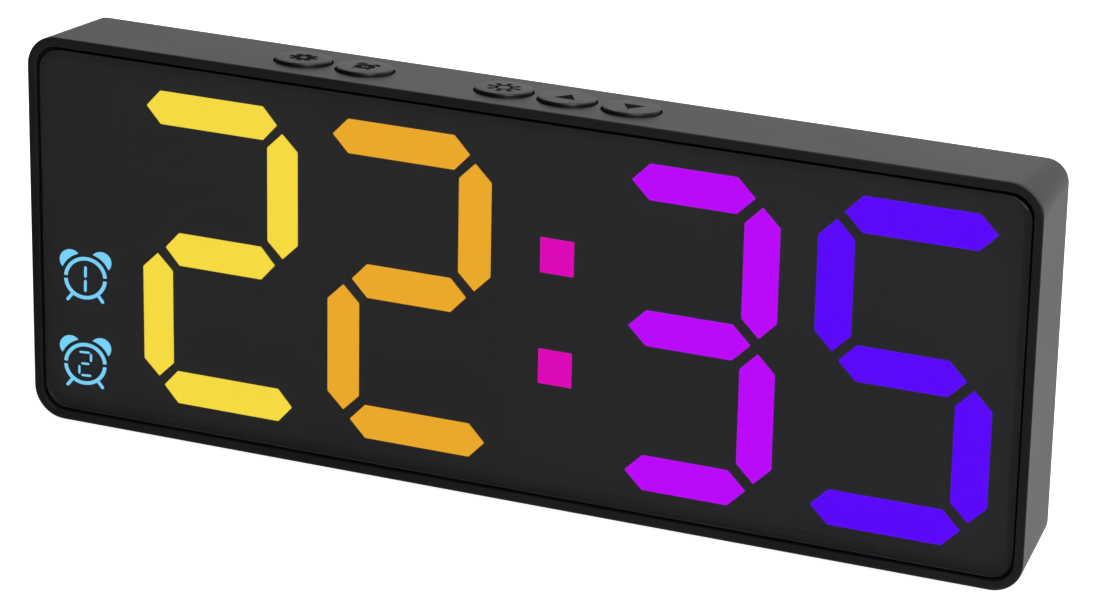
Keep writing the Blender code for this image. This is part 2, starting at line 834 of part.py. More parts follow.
# A short wire that leaves the contact's tail sideways and turns down square onto the board
def build_lead(name, start_x, end_x, side, tint):
    curve = bpy.data.curves.new(name, "CURVE")
    curve.dimensions = "3D"
    curve.bevel_depth = lead_radius
    curve.bevel_resolution = 1
    curve.use_fill_caps = True
    turn_x = end_x - side * lead_bend
    route = [(start_x, parts_front + lead_bend)]
    route += [(turn_x + side * x, parts_front + y) for x, y in arc(lead_bend, math.pi / 2, 0, 6)]
    spline = curve.splines.new("POLY")
    spline.points.add(len(route) - 1)
    for point, (x, y) in zip(spline.points, route):
        point.co = (x, y, 0, 1)
    lead = bpy.data.objects.new(name, curve)
    lead.parent = clock_frame
    lead.location = (well_x, 0, middle_height)
    part_collection.objects.link(lead)
    weld = lead.modifiers.new("weld", "WELD")
    weld.merge_threshold = weld_distance
    curve.materials.append(materials[tint])


def build_screws():
    for number, (x, z) in enumerate(post_places(), 1):
        head_rear = head_front + screw_head_height
        profile = [(0, head_rear), (screw_head_radius - screw_head_edge, head_rear),
                   (screw_head_radius, head_rear - screw_head_edge),
                   (screw_head_radius, head_front), (screw_radius, head_front),
                   (screw_radius, screw_end), (0, screw_end)]
        screw = turned(f"case_screw_{number}", profile, (x, 0, z), segments=small_segments,
                       along_y=True)
        finish(screw, "screw_steel")


def build_inlet():
    place = (usb_x, 0, middle_height)
    shell_rear = case_depth - usb_recess
    shell = outline_solid("usb_shell", [rounded_rectangle(usb_width, usb_height, usb_corner)],
                          parts_front, shell_rear, place)
    mouth = rounded_rectangle(usb_width - 2 * usb_wall, usb_height - 2 * usb_wall,
                              usb_corner - usb_wall)
    cut(shell, outline_solid("usb_mouth", [mouth], parts_front + usb_floor, shell_rear + overrun,
                             place))
    finish(shell, "connector_steel")
    tongue_front = parts_front + usb_floor + seat_gap
    tongue_rear = shell_rear - tongue_recess
    tongue = box("usb_tongue", (tongue_width, tongue_rear - tongue_front, tongue_height),
                 (usb_x, (tongue_front + tongue_rear) / 2, middle_height))
    finish(tongue, "black_switch")


def build_chip(name, x, width, length):
    centre = middle_height + chip_lift
    body = box(name, (width, chip_height, length), (x, parts_front + chip_height / 2, centre),
               edge=chip_edge)
    count = int(width / chip_leg_pitch)
    legs = []
    for i in range(count):
        across = (i - (count - 1) / 2) * chip_leg_pitch
        for side in (-1, 1):
            legs.append(rectangle(chip_leg_width, chip_leg_reach + chip_edge * 2, x + across,
                                  centre + side * (length + chip_leg_reach) / 2))
    leg_rear = parts_front + chip_edge + chip_leg_thickness
    fuse(body, outline_solid(f"{name}_legs", legs, parts_front + chip_edge, leg_rear))
    finish(body, "black_chip")


def build_board_parts():
    build_chip("controller_chip", controller_x, controller_width, controller_length)
    build_chip("driver_chip", driver_x, driver_width, driver_length)
    place = (buzzer_x, 0, middle_height)
    top = back_inner - buzzer_room
    buzzer = turned("buzzer", [(0, top - buzzer_port_depth),
                               (buzzer_port_radius, top - buzzer_port_depth),
                               (buzzer_port_radius, top), (buzzer_radius - buzzer_edge, top),
                               (buzzer_radius, top - buzzer_edge), (buzzer_radius, parts_front),
                               (0, parts_front)], place, along_y=True)
    finish(buzzer, "black_switch")
    base_rear = parts_front + capacitor_base_height
    top = back_inner - capacitor_room
    place = (driver_x, 0, middle_height + capacitor_lift)
    capacitor = turned("capacitor", [(0, top), (capacitor_radius - capacitor_edge, top),
                                     (capacitor_radius, top - capacitor_edge),
                                     (capacitor_radius, base_rear - bite), (0, base_rear - bite)],
                       place, along_y=True, segments=small_segments)
    fuse(capacitor, box("capacitor_seat", (capacitor_base, capacitor_base_height, capacitor_base),
                        (driver_x, parts_front + capacitor_base_height / 2, place[2])))
    finish(capacitor, "capacitor_can")
    half = crystal_length / 2
    crystal = turned("clock_crystal", [(0, half), (crystal_radius * 0.75, half),
                                       (crystal_radius, half - crystal_radius / 4),
                                       (crystal_radius, -half), (0, -half)],
                     (controller_x, parts_front + crystal_radius, middle_height + crystal_lift),
                     segments=small_segments)
    crystal.rotation_euler = (0, math.radians(90), 0)
    finish(crystal, "connector_steel")


def build_feet():
    for name, side in (("left_foot", -1), ("right_foot", 1)):
        foot = outline_solid(name, [rounded_rectangle(foot_length, foot_width, foot_corner)], 0,
                             foot_thickness, (side * foot_x, foot_y, 0), base_frame, lying=True)
        finish(foot, "foot_rubber")


clear_scene()
part_collection = new_collection("digital_alarm_clock")
cutter_collection = new_collection("cutters")

# The case leans back by its draft, so its sloping underside lies level above the feet
lean_depth = case_depth * math.cos(draft_angle) + (case_height - rear_inset) * math.sin(draft_angle)
front_y = -lean_depth / 2
foot_y = front_y + foot_setback + foot_width / 2
side_contact_x = cell_radius + seat_gap + contact_slot_width / 4
base_frame = add_empty("base_frame", (0, 0, 0), 0)
clock_frame = add_empty("clock_frame", (0, front_y, foot_proud), -draft_angle, base_frame)
top_frame = add_empty("top_frame", (0, 0, case_height), -draft_angle, clock_frame)

add_material("black_case", (0.012, 0.012, 0.013), 0.45)
add_material("black_button", (0.012, 0.012, 0.013), 0.4)
add_material("smoked_lens", (0.01, 0.01, 0.011), 0.06)
add_material("black_mask", (0.004, 0.004, 0.004), 0.6)
add_material("yellow_segments", (0.91, 0.70, 0.05), 0.5)
add_material("orange_segments", (0.82, 0.40, 0.02), 0.5)
add_material("magenta_segments", (0.70, 0.0, 0.47), 0.5)
add_material("violet_segments", (0.48, 0.0, 0.95), 0.5)
add_material("blue_segments", (0.10, 0.0, 0.95), 0.5)
add_material("icon_blue", (0.16, 0.62, 0.94), 0.5)
add_material("white_frame", (0.8, 0.8, 0.8), 0.5)
add_material("green_board", (0.02, 0.14, 0.05), 0.5)
add_material("black_switch", (0.015, 0.015, 0.015), 0.5)
add_material("white_plunger", (0.7, 0.7, 0.68), 0.5)
add_material("black_chip", (0.02, 0.02, 0.02), 0.55)
add_material("cell_steel", (0.6, 0.6, 0.58), 0.3, 1.0)
add_material("spring_metal", (0.62, 0.6, 0.55), 0.3, 1.0)
add_material("connector_steel", (0.6, 0.6, 0.6), 0.3, 1.0)
add_material("screw_steel", (0.5, 0.5, 0.5), 0.35, 1.0)
add_material("capacitor_can", (0.7, 0.7, 0.72), 0.3, 1.0)
add_material("black_wire", (0.01, 0.01, 0.01), 0.5)
add_material("red_wire", (0.5, 0.01, 0.01), 0.5)
add_material("foot_rubber", (0.03, 0.03, 0.03), 0.85)

build_case()
build_front()
build_digits()
build_icons()
build_module()
build_buttons()
build_battery()
build_screws()
build_inlet()
build_board_parts()
build_feet()
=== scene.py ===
import math

import bmesh
import bpy
from mathutils import Matrix, Vector


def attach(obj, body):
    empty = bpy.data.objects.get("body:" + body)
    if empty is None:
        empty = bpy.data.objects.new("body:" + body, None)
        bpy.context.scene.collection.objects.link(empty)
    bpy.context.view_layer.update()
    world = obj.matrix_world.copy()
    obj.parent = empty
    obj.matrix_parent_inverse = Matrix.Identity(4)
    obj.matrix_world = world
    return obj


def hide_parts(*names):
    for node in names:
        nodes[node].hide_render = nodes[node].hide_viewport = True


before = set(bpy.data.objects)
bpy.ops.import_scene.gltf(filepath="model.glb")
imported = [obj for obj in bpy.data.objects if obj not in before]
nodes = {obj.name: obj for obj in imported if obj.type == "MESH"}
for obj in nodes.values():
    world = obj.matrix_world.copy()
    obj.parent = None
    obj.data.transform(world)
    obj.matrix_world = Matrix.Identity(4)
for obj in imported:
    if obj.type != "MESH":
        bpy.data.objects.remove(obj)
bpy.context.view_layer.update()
mm = 0.001
weldDistance = 0.000001
creaseAngle = math.radians(30)
# profiles stop this far from their axis, and cutting tools stand this far past a face
nearAxis = 0.02
past = 1.0

# The case leans back by its draft and stands on its sloping underside
case = {
    "width": 163.0,
    "height": 63.1,
    "depth": 17.4,
    "corner": 5.1,
    "rearInset": 1.65,
    "rim": 1.5,
    "ledge": 1.1,
    "sideWall": 1.8,
    "backWall": 1.6,
    "pocketDepth": 1.55,
    "frontEdge": 0.3,
    "lipEdge": 0.06,
    "rearEdge": 0.3,
    "rearBorder": 1.6,
    "cornerSteps": 20,
    "frontY": -11.5617,
    "footLift": 0.5,
}
draft = math.atan2(case["rearInset"], case["depth"])
midHeight = case["height"] / 2
clockFrame = (Matrix.Translation(Vector((0, case["frontY"], case["footLift"])) * mm)
              @ Matrix.Rotation(-draft, 4, "X"))
topFrame = (clockFrame @ Matrix.Translation(Vector((0, 0, case["height"])) * mm)
            @ Matrix.Rotation(-draft, 4, "X"))


def hexToLinear(code):
    values = []
    for i in (1, 3, 5):
        value = int(code[i:i + 2], 16) / 255
        values.append(value / 12.92 if value <= 0.04045 else ((value + 0.055) / 1.055) ** 2.4)
    return (*values, 1.0)


def addNode(tree, kind, settings=None, links=None):
    node = tree.nodes.new(kind)
    for name, value in (settings or {}).items():
        if name == "stops":
            while len(node.color_ramp.elements) < len(value):
                node.color_ramp.elements.new(0.5)
            for element, (place, colour) in zip(node.color_ramp.elements, value):
                element.position = place
                element.color = colour
        elif name in node.inputs:
            node.inputs[name].default_value = value
        else:
            setattr(node, name, value)
    for name, (source, output) in (links or {}).items():
        tree.links.new(source.outputs[output], node.inputs[name])
    return node


# scale of a noise whose features are this many millimetres across
def perMm(size):
    return 1 / (size * mm)


def startMaterial(name):
    material = bpy.data.materials.new(name)
    material.use_nodes = True
    tree = material.node_tree
    tree.nodes.clear()
    place = addNode(tree, "ShaderNodeTexCoord")
    return material, tree, place


def endMaterial(tree, shader):
    addNode(tree, "ShaderNodeOutputMaterial", {}, {"Surface": (shader, "BSDF")})


# points of a profile whose corners (a, b, radius) are rounded
def roundProfile(corners, steps):
    points = []
    count = len(corners)
    for i, (a, b, radius) in enumerate(corners):
        corner = Vector((a, b))
        if radius <= 0 or i in (0, count - 1):
            points.append((a, b))
            continue
        toLast = (Vector(corners[i - 1][:2]) - corner).normalized()
        toNext = (Vector(corners[i + 1][:2]) - corner).normalized()
        half = toLast.angle(toNext) / 2
        middle = corner + (toLast + toNext).normalized() * radius / math.sin(half)
        start = corner + toLast * radius / math.tan(half) - middle
        end = corner + toNext * radius / math.tan(half) - middle
        for step in range(steps + 1):
            points.append(tuple(middle + start.slerp(end, step / steps).normalized() * radius))
    return points


def makePiece(name, build, place):
    bmesh.ops.recalc_face_normals(build, faces=build.faces)
    mesh = bpy.data.meshes.new(name)
    build.to_mesh(mesh)
    build.free()
    piece = bpy.data.objects.new(name, mesh)
    piece.matrix_world = place
    bpy.context.scene.collection.objects.link(piece)
    return piece


def skinRings(build, rings, capped=True):
    loops = [[build.verts.new(Vector(point) * mm) for point in ring] for ring in rings]
    for first, second in zip(loops, loops[1:]):
        for i in range(len(first)):
            j = (i + 1) % len(first)
            build.faces.new((first[i], first[j], second[j], second[i]))
    if capped:
        build.faces.new(loops[0])
        build.faces.new(loops[-1])


# outline of the case inset by so much, at a depth behind the front, with rounder corners if asked
def caseRing(inset, depth, rounder=0.0):
    radius = case["corner"] - inset + rounder
    coreX = case["width"] / 2 - case["corner"] - rounder
    coreZ = midHeight - case["corner"] - rounder
    ring = []
    for quarter in range(4):
        sideX = 1 if quarter in (0, 3) else -1
        sideZ = 1 if quarter < 2 else -1
        for step in range(case["cornerSteps"] + 1):
            turn = math.pi / 2 * (quarter + step / case["cornerSteps"])
            ring.append((sideX * coreX + radius * math.cos(turn), depth,
                         midHeight + sideZ * coreZ + radius * math.sin(turn)))
    return ring


# a profile of (radius, height) spun about its own axis, which points up or to the back
def spin(build, profile, steps, centre=(0, 0, 0), toBack=False):
    rings = []
    for radius, height in profile:
        ring = []
        for step in range(steps):
            turn = 2 * math.pi * step / steps
            across = radius * math.cos(turn)
            along = radius * math.sin(turn)
            spot = Vector((across, height, along)) if toBack else Vector((across, along, height))
            ring.append(spot + Vector(centre))
        rings.append(ring)
    skinRings(build, rings)


# flat outlines of (across, up) filled and given a thickness, standing or lying; those of one
# group make holes in each other
def slab(name, groups, front, rear, place, lying=False):
    build = bmesh.new()
    for outlines in groups:
        curve = bpy.data.curves.new(name, "CURVE")
        curve.dimensions = "2D"
        curve.fill_mode = "BOTH"
        curve.extrude = (rear - front) / 2 * mm
        for outline in outlines:
            spline = curve.splines.new("POLY")
            spline.points.add(len(outline) - 1)
            for point, (across, up) in zip(spline.points, outline):
                point.co = (across * mm, up * mm, 0, 1)
            spline.use_cyclic_u = True
        drawn = bpy.data.objects.new(name, curve)
        bpy.context.scene.collection.objects.link(drawn)
        graph = bpy.context.evaluated_depsgraph_get()
        mesh = bpy.data.meshes.new_from_object(drawn.evaluated_get(graph))
        bpy.data.objects.remove(drawn, do_unlink=True)
        first = len(build.verts)
        build.from_mesh(mesh)
        bpy.data.meshes.remove(mesh)
        build.verts.ensure_lookup_table()
        bmesh.ops.remove_doubles(build, verts=build.verts[first:], dist=weldDistance)
    middle = (front + rear) / 2 * mm
    for vertex in build.verts:
        across, up, deep = vertex.co
        vertex.co = (across, up, deep + middle) if lying else (across, middle - deep, up)
    return makePiece(name, build, place)


def carve(piece, tool, operation="DIFFERENCE"):
    cutter = piece.modifiers.new("carve", "BOOLEAN")
    cutter.operation = operation
    cutter.solver = "EXACT"
    cutter.object = tool
    graph = bpy.context.evaluated_depsgraph_get()
    mesh = bpy.data.meshes.new_from_object(piece.evaluated_get(graph))
    piece.modifiers.clear()
    piece.data = mesh
    bpy.data.objects.remove(tool, do_unlink=True)


def dress(piece, material, body):
    piece.data.transform(piece.matrix_world)
    piece.matrix_world = Matrix.Identity(4)
    piece.data.materials.clear()
    piece.data.materials.append(material)
    piece.data.shade_smooth()
    piece.data.set_sharp_from_angle(angle=creaseAngle)
    even = piece.modifiers.new("evenShading", "WEIGHTED_NORMAL")
    even.keep_sharp = True
    even.weight = 100
    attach(piece, body)
    return piece


def circle(radius, steps=32):
    return [(radius * math.cos(2 * math.pi * i / steps), radius * math.sin(2 * math.pi * i / steps))
            for i in range(steps)]


def arcPoints(radius, start, end, steps, across=0, up=0):
    return [(across + radius * math.cos(start + (end - start) * i / steps),
             up + radius * math.sin(start + (end - start) * i / steps)) for i in range(steps + 1)]


def roundedRectangle(width, height, radius, across=0, up=0, steps=8):
    points = []
    for quarter in range(4):
        sideX = 1 if quarter in (0, 3) else -1
        sideZ = 1 if quarter < 2 else -1
        start = quarter * math.pi / 2
        points += arcPoints(radius, start, start + math.pi / 2, steps,
                            across + sideX * (width / 2 - radius), up + sideZ * (height / 2 - radius))
    return points


# procedural finishes
print("materials")

# moulded ABS, spark-eroded mould: a fine even grain that breaks grazing light into a soft sheen
caseLook = {"colour": "#0f0f10", "lighter": "#131314", "roughness": 0.42, "grainMm": 0.22, "depth": 0.06}
grainHeight = 0.05 * mm


def makeMouldedAbs(name, look, sheen=0.5):
    material, tree, place = startMaterial(name)
    # the real grain of about 0.05 mm is drawn coarser, or it wouldn't show
    grain = addNode(tree, "ShaderNodeTexNoise", {"Scale": perMm(look["grainMm"]), "Detail": 3.0,
                                                 "Roughness": 0.6}, {"Vector": (place, "Object")})
    cloud = addNode(tree, "ShaderNodeTexNoise", {"Scale": perMm(24), "Detail": 2.0},
                    {"Vector": (place, "Object")})
    tint = addNode(tree, "ShaderNodeValToRGB", {"stops": [(0.35, hexToLinear(look["colour"])),
                                                          (0.7, hexToLinear(look["lighter"]))]},
                   {"Fac": (cloud, "Fac")})
    rough = addNode(tree, "ShaderNodeMapRange", {"To Min": look["roughness"] - 0.05,
                                                 "To Max": look["roughness"] + 0.06},
                    {"Value": (cloud, "Fac")})
    bump = addNode(tree, "ShaderNodeBump", {"Strength": look["depth"], "Distance": grainHeight},
                   {"Height": (grain, "Fac")})
    shader = addNode(tree, "ShaderNodeBsdfPrincipled", {"IOR": 1.52, "Specular IOR Level": sheen},
                     {"Base Color": (tint, "Color"), "Roughness": (rough, "Result"),
                      "Normal": (bump, "Normal")})
    endMaterial(tree, shader)
    return material


mouldedAbs = makeMouldedAbs("mouldedBlackAbs", caseLook)
capAbs = makeMouldedAbs("mouldedButtonAbs", {"colour": "#0b0b0c", "lighter": "#0e0e0f",
                                             "roughness": 0.38, "grainMm": 0.18, "depth": 0.05})
nylonBlack = makeMouldedAbs("mouldedBlackNylon", {"colour": "#161616", "lighter": "#1e1e1e",
                                                  "roughness": 0.5, "grainMm": 0.15, "depth": 0.08})
absWhite = makeMouldedAbs("mouldedWhiteAbs", {"colour": "#e4e4e1", "lighter": "#efefec",
                                              "roughness": 0.5, "grainMm": 0.2, "depth": 0.06})
nylonWhite = makeMouldedAbs("mouldedWhiteNylon", {"colour": "#d9d8d2", "lighter": "#e6e5df",
                                                  "roughness": 0.45, "grainMm": 0.15, "depth": 0.05})
epoxy = makeMouldedAbs("mouldedEpoxyPackage", {"colour": "#232324", "lighter": "#2c2c2d",
                                               "roughness": 0.6, "grainMm": 0.1, "depth": 0.12})
silicone = makeMouldedAbs("mouldedSiliconePad", {"colour": "#2b2b2b", "lighter": "#363635",
                                                 "roughness": 0.85, "grainMm": 0.3, "depth": 0.2})
blackPvc = makeMouldedAbs("extrudedBlackPvc", {"colour": "#141414", "lighter": "#1c1c1c",
                                               "roughness": 0.4, "grainMm": 0.3, "depth": 0.04})
redPvc = makeMouldedAbs("extrudedRedPvc", {"colour": "#a51414", "lighter": "#b81d1a",
                                           "roughness": 0.4, "grainMm": 0.3, "depth": 0.04})
# matte ink on film: flat charcoal that hides the unlit segments under the smoked lens
printedFilm = makeMouldedAbs("printedCharcoalFilm", {"colour": "#373739", "lighter": "#39393b",
                                                     "roughness": 0.8, "grainMm": 0.4, "depth": 0.01})
# the same ink round the edge of the lens, where the acrylic lies straight on it
printedBorder = makeMouldedAbs("printedCharcoalBorder", {"colour": "#333335", "lighter": "#353537",
                                                         "roughness": 0.8, "grainMm": 0.4, "depth": 0.01})
# painted shade: near-black matte ABS on the engraved floor of the button marks and on the side of the lens
# towards the groove, standing in for the shade in these hollows
paintedShadeAbs = makeMouldedAbs("paintedShadeMatteAbs", {"colour": "#050505", "lighter": "#080808",
                                                  "roughness": 0.95, "grainMm": 0.1, "depth": 0.3}, 0.1)

# smoked cast acrylic, polished: dark, see-through to the lit digits, with a clear gloss; the
# see-through share thins the gloss as well, so the index is set above that of acrylic
lensLook = {"colour": "#08080a", "lighter": "#0b0b0c", "clearness": 0.75, "roughness": 0.05, "index": 2.2}


def makeSmokedAcrylic(look):
    material, tree, place = startMaterial("polishedSmokedAcrylic")
    haze = addNode(tree, "ShaderNodeTexNoise", {"Scale": perMm(18), "Detail": 2.0},
                   {"Vector": (place, "Object")})
    rough = addNode(tree, "ShaderNodeMapRange", {"To Min": look["roughness"] - 0.02,
                                                 "To Max": look["roughness"] + 0.04},
                    {"Value": (haze, "Fac")})
    tint = addNode(tree, "ShaderNodeValToRGB", {"stops": [(0.3, hexToLinear(look["colour"])),
                                                          (0.8, hexToLinear(look["lighter"]))]},
                   {"Fac": (haze, "Fac")})
    shader = addNode(tree, "ShaderNodeBsdfPrincipled",
                     {"IOR": look["index"], "Alpha": 1 - look["clearness"]},
                     {"Base Color": (tint, "Color"), "Roughness": (rough, "Result")})
    endMaterial(tree, shader)
    return material


smokedAcrylic = makeSmokedAcrylic(lensLook)


# lit diffuser, moulded translucent resin over a diode: an even glow with a faint surface grain,
# bright enough to show its colour through both faces of the lens
def makeLitDiffuser(name, seen):
    material, tree, place = startMaterial(name)
    grain = addNode(tree, "ShaderNodeTexNoise", {"Scale": perMm(0.2), "Detail": 2.0},
                    {"Vector": (place, "Object")})
    body = addNode(tree, "ShaderNodeValToRGB", {"stops": [(0.3, hexToLinear("#030303")),
                                                          (0.7, hexToLinear("#060606"))]},
                   {"Fac": (grain, "Fac")})
    bump = addNode(tree, "ShaderNodeBump", {"Strength": 0.05, "Distance": grainHeight},
                   {"Height": (grain, "Fac")})
    shader = addNode(tree, "ShaderNodeBsdfPrincipled",
                     {"Emission Color": hexToLinear(seen), "Roughness": 0.8, "Specular IOR Level": 0.05,
                      "Emission Strength": 1 / lensLook["clearness"] ** 2},
                     {"Base Color": (body, "Color"), "Normal": (bump, "Normal")})
    endMaterial(tree, shader)
    return material


glow = {
    "hours_tens": makeLitDiffuser("litYellowDiffuser", "#f5da41"),
    "hours_ones": makeLitDiffuser("litOrangeDiffuser", "#eaa929"),
    "minutes_tens": makeLitDiffuser("litVioletDiffuser", "#b902f9"),
    "minutes_ones": makeLitDiffuser("litBlueDiffuser", "#5a01f9"),
    "colon": makeLitDiffuser("litMagentaDiffuser", "#db01b7"),
    "icon": makeLitDiffuser("litSkyDiffuser", "#78d0f7"),
}


# plated or drawn metal: thin lines along the way it was rolled, and a slightly uneven gloss
def makeMetal(name, colour, lighter, roughness, lineMm):
    material, tree, place = startMaterial(name)
    drawn = addNode(tree, "ShaderNodeMapping", {"Scale": (1.0, 12.0, 1.0)}, {"Vector": (place, "Object")})
    lines = addNode(tree, "ShaderNodeTexNoise", {"Scale": perMm(lineMm), "Detail": 3.0},
                    {"Vector": (drawn, "Vector")})
    tint = addNode(tree, "ShaderNodeValToRGB", {"stops": [(0.3, hexToLinear(colour)),
                                                          (0.7, hexToLinear(lighter))]},
                   {"Fac": (lines, "Fac")})
    rough = addNode(tree, "ShaderNodeMapRange", {"To Min": roughness - 0.06, "To Max": roughness + 0.08},
                    {"Value": (lines, "Fac")})
    shader = addNode(tree, "ShaderNodeBsdfPrincipled", {"Metallic": 1.0},
                     {"Base Color": (tint, "Color"), "Roughness": (rough, "Result")})
    endMaterial(tree, shader)
    return material


nickelSheet = makeMetal("nickelPlatedSheet", "#c3c0ba", "#d2cfc9", 0.28, 1.2)
drawnCan = makeMetal("drawnAluminiumCan", "#cfd1d3", "#dcdddf", 0.3, 0.8)
zincSteel = makeMetal("zincPlatedScrew", "#a9abae", "#bcbdc0", 0.36, 0.6)


# etched circuit board: green solder mask with faint copper tracks under it, evenly glossy
def makeSolderMask():
    material, tree, place = startMaterial("greenSolderMask")
    tracks = addNode(tree, "ShaderNodeTexBrick",
                     {"Scale": perMm(1.0), "Color1": hexToLinear("#12542f"), "Color2": hexToLinear("#145b34"),
                      "Mortar": hexToLinear("#0d4226"), "Mortar Size": 0.05, "Brick Width": 2.54,
                      "Row Height": 1.27}, {"Vector": (place, "Object")})
    gloss = addNode(tree, "ShaderNodeTexNoise", {"Scale": perMm(6), "Detail": 2.0},
                    {"Vector": (place, "Object")})
    rough = addNode(tree, "ShaderNodeMapRange", {"To Min": 0.3, "To Max": 0.42}, {"Value": (gloss, "Fac")})
    shader = addNode(tree, "ShaderNodeBsdfPrincipled", {"IOR": 1.5},
                     {"Base Color": (tracks, "Color"), "Roughness": (rough, "Result")})
    endMaterial(tree, shader)
    return material


solderMask = makeSolderMask()

# the moulded shell with its bosses, battery well and openings
print("case")

caseHoles = {
    "postRadius": 3.7,
    "postFront": 8.3,
    "postWeb": 9.9,
    "wellRadius": 14.6,
    "wellFront": 9.5,
    "cellFront": 11.2,
    "screwHole": 1.4,
    "screwHoleFront": 7.3,
    "counterbore": 2.5,
    "rimEdge": 0.12,
    "soundHole": 0.7,
    "soundRing": 3.2,
    "buzzerX": 22.005,
    "usbX": 72.046,
    "usbSize": (9.54, 3.86, 1.6),
    "postX": (-49.487, 61.337),
    "postZ": (42.62, 19.58),
    "wellX": -17.93,
}
buttons = {
    "names": ("settings", "alarm", "brightness", "up", "down"),
    "x": (-38.42, -28.17, -5.32, 4.93, 15.18),
    "setback": 8.5,
    "radius": 4.35,
    "gap": 0.25,
    "rise": 0.55,
    "edge": 0.25,
    "innerEnd": -1.9,
    "holeEnd": -3.6,
    "holeEdge": 0.1,
    "holeLip": 0.002,
    "steps": 96,
}
door = {
    "radius": 13.0,
    "thickness": 1.4,
    "edge": 0.35,
    "coinSlot": (13.0, 1.8, 0.7),
    "coinSlotEdge": 0.15,
    "coinSlotFlat": 0.05,
    "recess": 13.3,
    "skirt": (10.4, 11.4, 2.1),
    "clear": 0.3,
    "lugReach": 1.3,
    "lugShelf": 0.7,
}
feet = {
    "x": 60.0,
    "y": -1.81,
    "length": 14.0,
    "width": 10.5,
    "corner": 2.0,
    "thickness": 0.8,
    "edge": 0.2,
    "border": 0.8,
    "clear": 0.3,
}
depth = case["depth"]
backInner = depth - case["backWall"]


def caseProfile():
    innerFront = case["rim"] + case["ledge"]
    innerRear = case["rearInset"] + case["sideWall"]
    slope = (innerRear - innerFront) / depth
    return roundProfile([
        (innerFront + slope * backInner, backInner, 0),
        (innerFront + slope * case["pocketDepth"], case["pocketDepth"], 0),
        (case["rim"], case["pocketDepth"], 0),
        (case["rim"], 0, case["lipEdge"]),
        (0, 0, case["frontEdge"]),
        (case["rearInset"], depth, case["rearEdge"]),
        (case["rearInset"] + case["rearBorder"], depth, 0),
    ], steps=5)


def buildCase():
    build = bmesh.new()
    skinRings(build, [caseRing(inset, y) for inset, y in caseProfile()])
    shell = makePiece("caseShell", build, clockFrame)
    posts = bmesh.new()
    middle = depth - case["backWall"] / 2
    for x in caseHoles["postX"]:
        for z in caseHoles["postZ"]:
            spin(posts, [(caseHoles["postRadius"], caseHoles["postFront"]),
                         (caseHoles["postRadius"], middle)], 32, (x, 0, z), True)
    spin(posts, [(caseHoles["wellRadius"], caseHoles["wellFront"]), (caseHoles["wellRadius"], middle)],
         64, (caseHoles["wellX"], 0, midHeight), True)
    carve(shell, makePiece("posts", posts, clockFrame), "UNION")

    holes = bmesh.new()
    rim = caseHoles["rimEdge"]
    for x in caseHoles["postX"]:
        for z in caseHoles["postZ"]:
            bore = caseHoles["counterbore"]
            spin(holes, [(caseHoles["screwHole"], caseHoles["screwHoleFront"]),
                         (caseHoles["screwHole"], caseHoles["postWeb"]), (bore, caseHoles["postWeb"]),
                         (bore, depth - rim * 2), (bore + rim * 2, depth), (bore + rim * 2, depth + past)],
                 48, (x, 0, z), True)
    recess = door["recess"]
    clear = door["clear"]
    inner, outer, skirt = door["skirt"]
    shelf = depth - door["thickness"] - clear
    groove = depth - door["thickness"] - skirt - clear
    under = shelf - door["lugShelf"]
    reach = outer + door["lugReach"]
    spin(holes, [(inner, caseHoles["cellFront"]), (inner, groove), (reach, groove), (reach, under),
                 (outer + clear, under), (outer + clear, shelf), (recess, shelf), (recess, depth - rim),
                 (recess + rim, depth), (recess + rim, depth + past)],
         96, (caseHoles["wellX"], 0, midHeight), True)
    spots = [(0, 0)] + [(caseHoles["soundRing"] * math.cos(math.pi / 3 * i),
                         caseHoles["soundRing"] * math.sin(math.pi / 3 * i)) for i in range(6)]
    for across, up in spots:
        size = caseHoles["soundHole"]
        spin(holes, [(size, backInner - past), (size, depth - rim), (size + rim, depth),
                     (size + rim, depth + past)],
             32, (caseHoles["buzzerX"] + across, 0, midHeight + up), True)
    carve(shell, makePiece("holes", holes, clockFrame))

    width, height, corner = caseHoles["usbSize"]
    mouth = bmesh.new()
    rings = [(0, backInner - past), (0, depth - rim * 2), (rim * 2, depth), (rim * 2, depth + past)]
    skinRings(mouth, [[(caseHoles["usbX"] + a, y, midHeight + b) for a, b in
                       roundedRectangle(width + 2 * grow, height + 2 * grow, corner + grow)]
                      for grow, y in rings])
    carve(shell, makePiece("usbMouth", mouth, clockFrame))

    keyHoles = bmesh.new()
    bore = buttons["radius"] + buttons["gap"]
    edge = buttons["holeEdge"]
    for x in buttons["x"]:
        spin(keyHoles, [(bore, buttons["holeEnd"]), (bore, -edge), (bore + edge * 0.3, -edge * 0.3),
                        (bore + edge, buttons["holeLip"]), (bore + edge, past)],
             buttons["steps"], (x, buttons["setback"], 0))
    carve(shell, makePiece("keyHoles", keyHoles, topFrame))

    pads = bmesh.new()
    clear = feet["clear"]
    for side in (-1, 1):
        outline = roundedRectangle(feet["length"] + 2 * clear, feet["width"] + 2 * clear,
                                   feet["corner"] + clear, side * feet["x"], feet["y"])
        skinRings(pads, [[(a, b, -past) for a, b in outline],
                         [(a, b, feet["thickness"] + clear) for a, b in outline]])
    carve(shell, makePiece("padPockets", pads, Matrix.Identity(4)))
    dress(shell, mouldedAbs, "clock")
    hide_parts("case_shell")


buildCase()

# the smoked window and the black mask behind it
print("lens and mask")

# the border print and the black skin of painted groove shade lie outside the lens, each from one distance to
# another
lens = {
    "recess": 0.25,
    "thickness": 1.0,
    "gap": 0.46,
    "edge": 0.22,
    "rearEdge": 0.05,
    "land": 1.2,
    "rounder": 0.55,
    "topDrop": 0.2,
    "border": 1.4,
    "borderStart": 0.3,
    "borderSkin": (0.01, 0.03),
    "grooveShadeSkin": (0.035, 0.06),
}
mask = {"front": 1.55, "rear": 1.95, "gap": 0.35}


def lensRing(inset, depth):
    drop = lens["topDrop"]
    return [(x, y, z - drop if z > midHeight else z) for x, y, z in caseRing(inset, depth, lens["rounder"])]


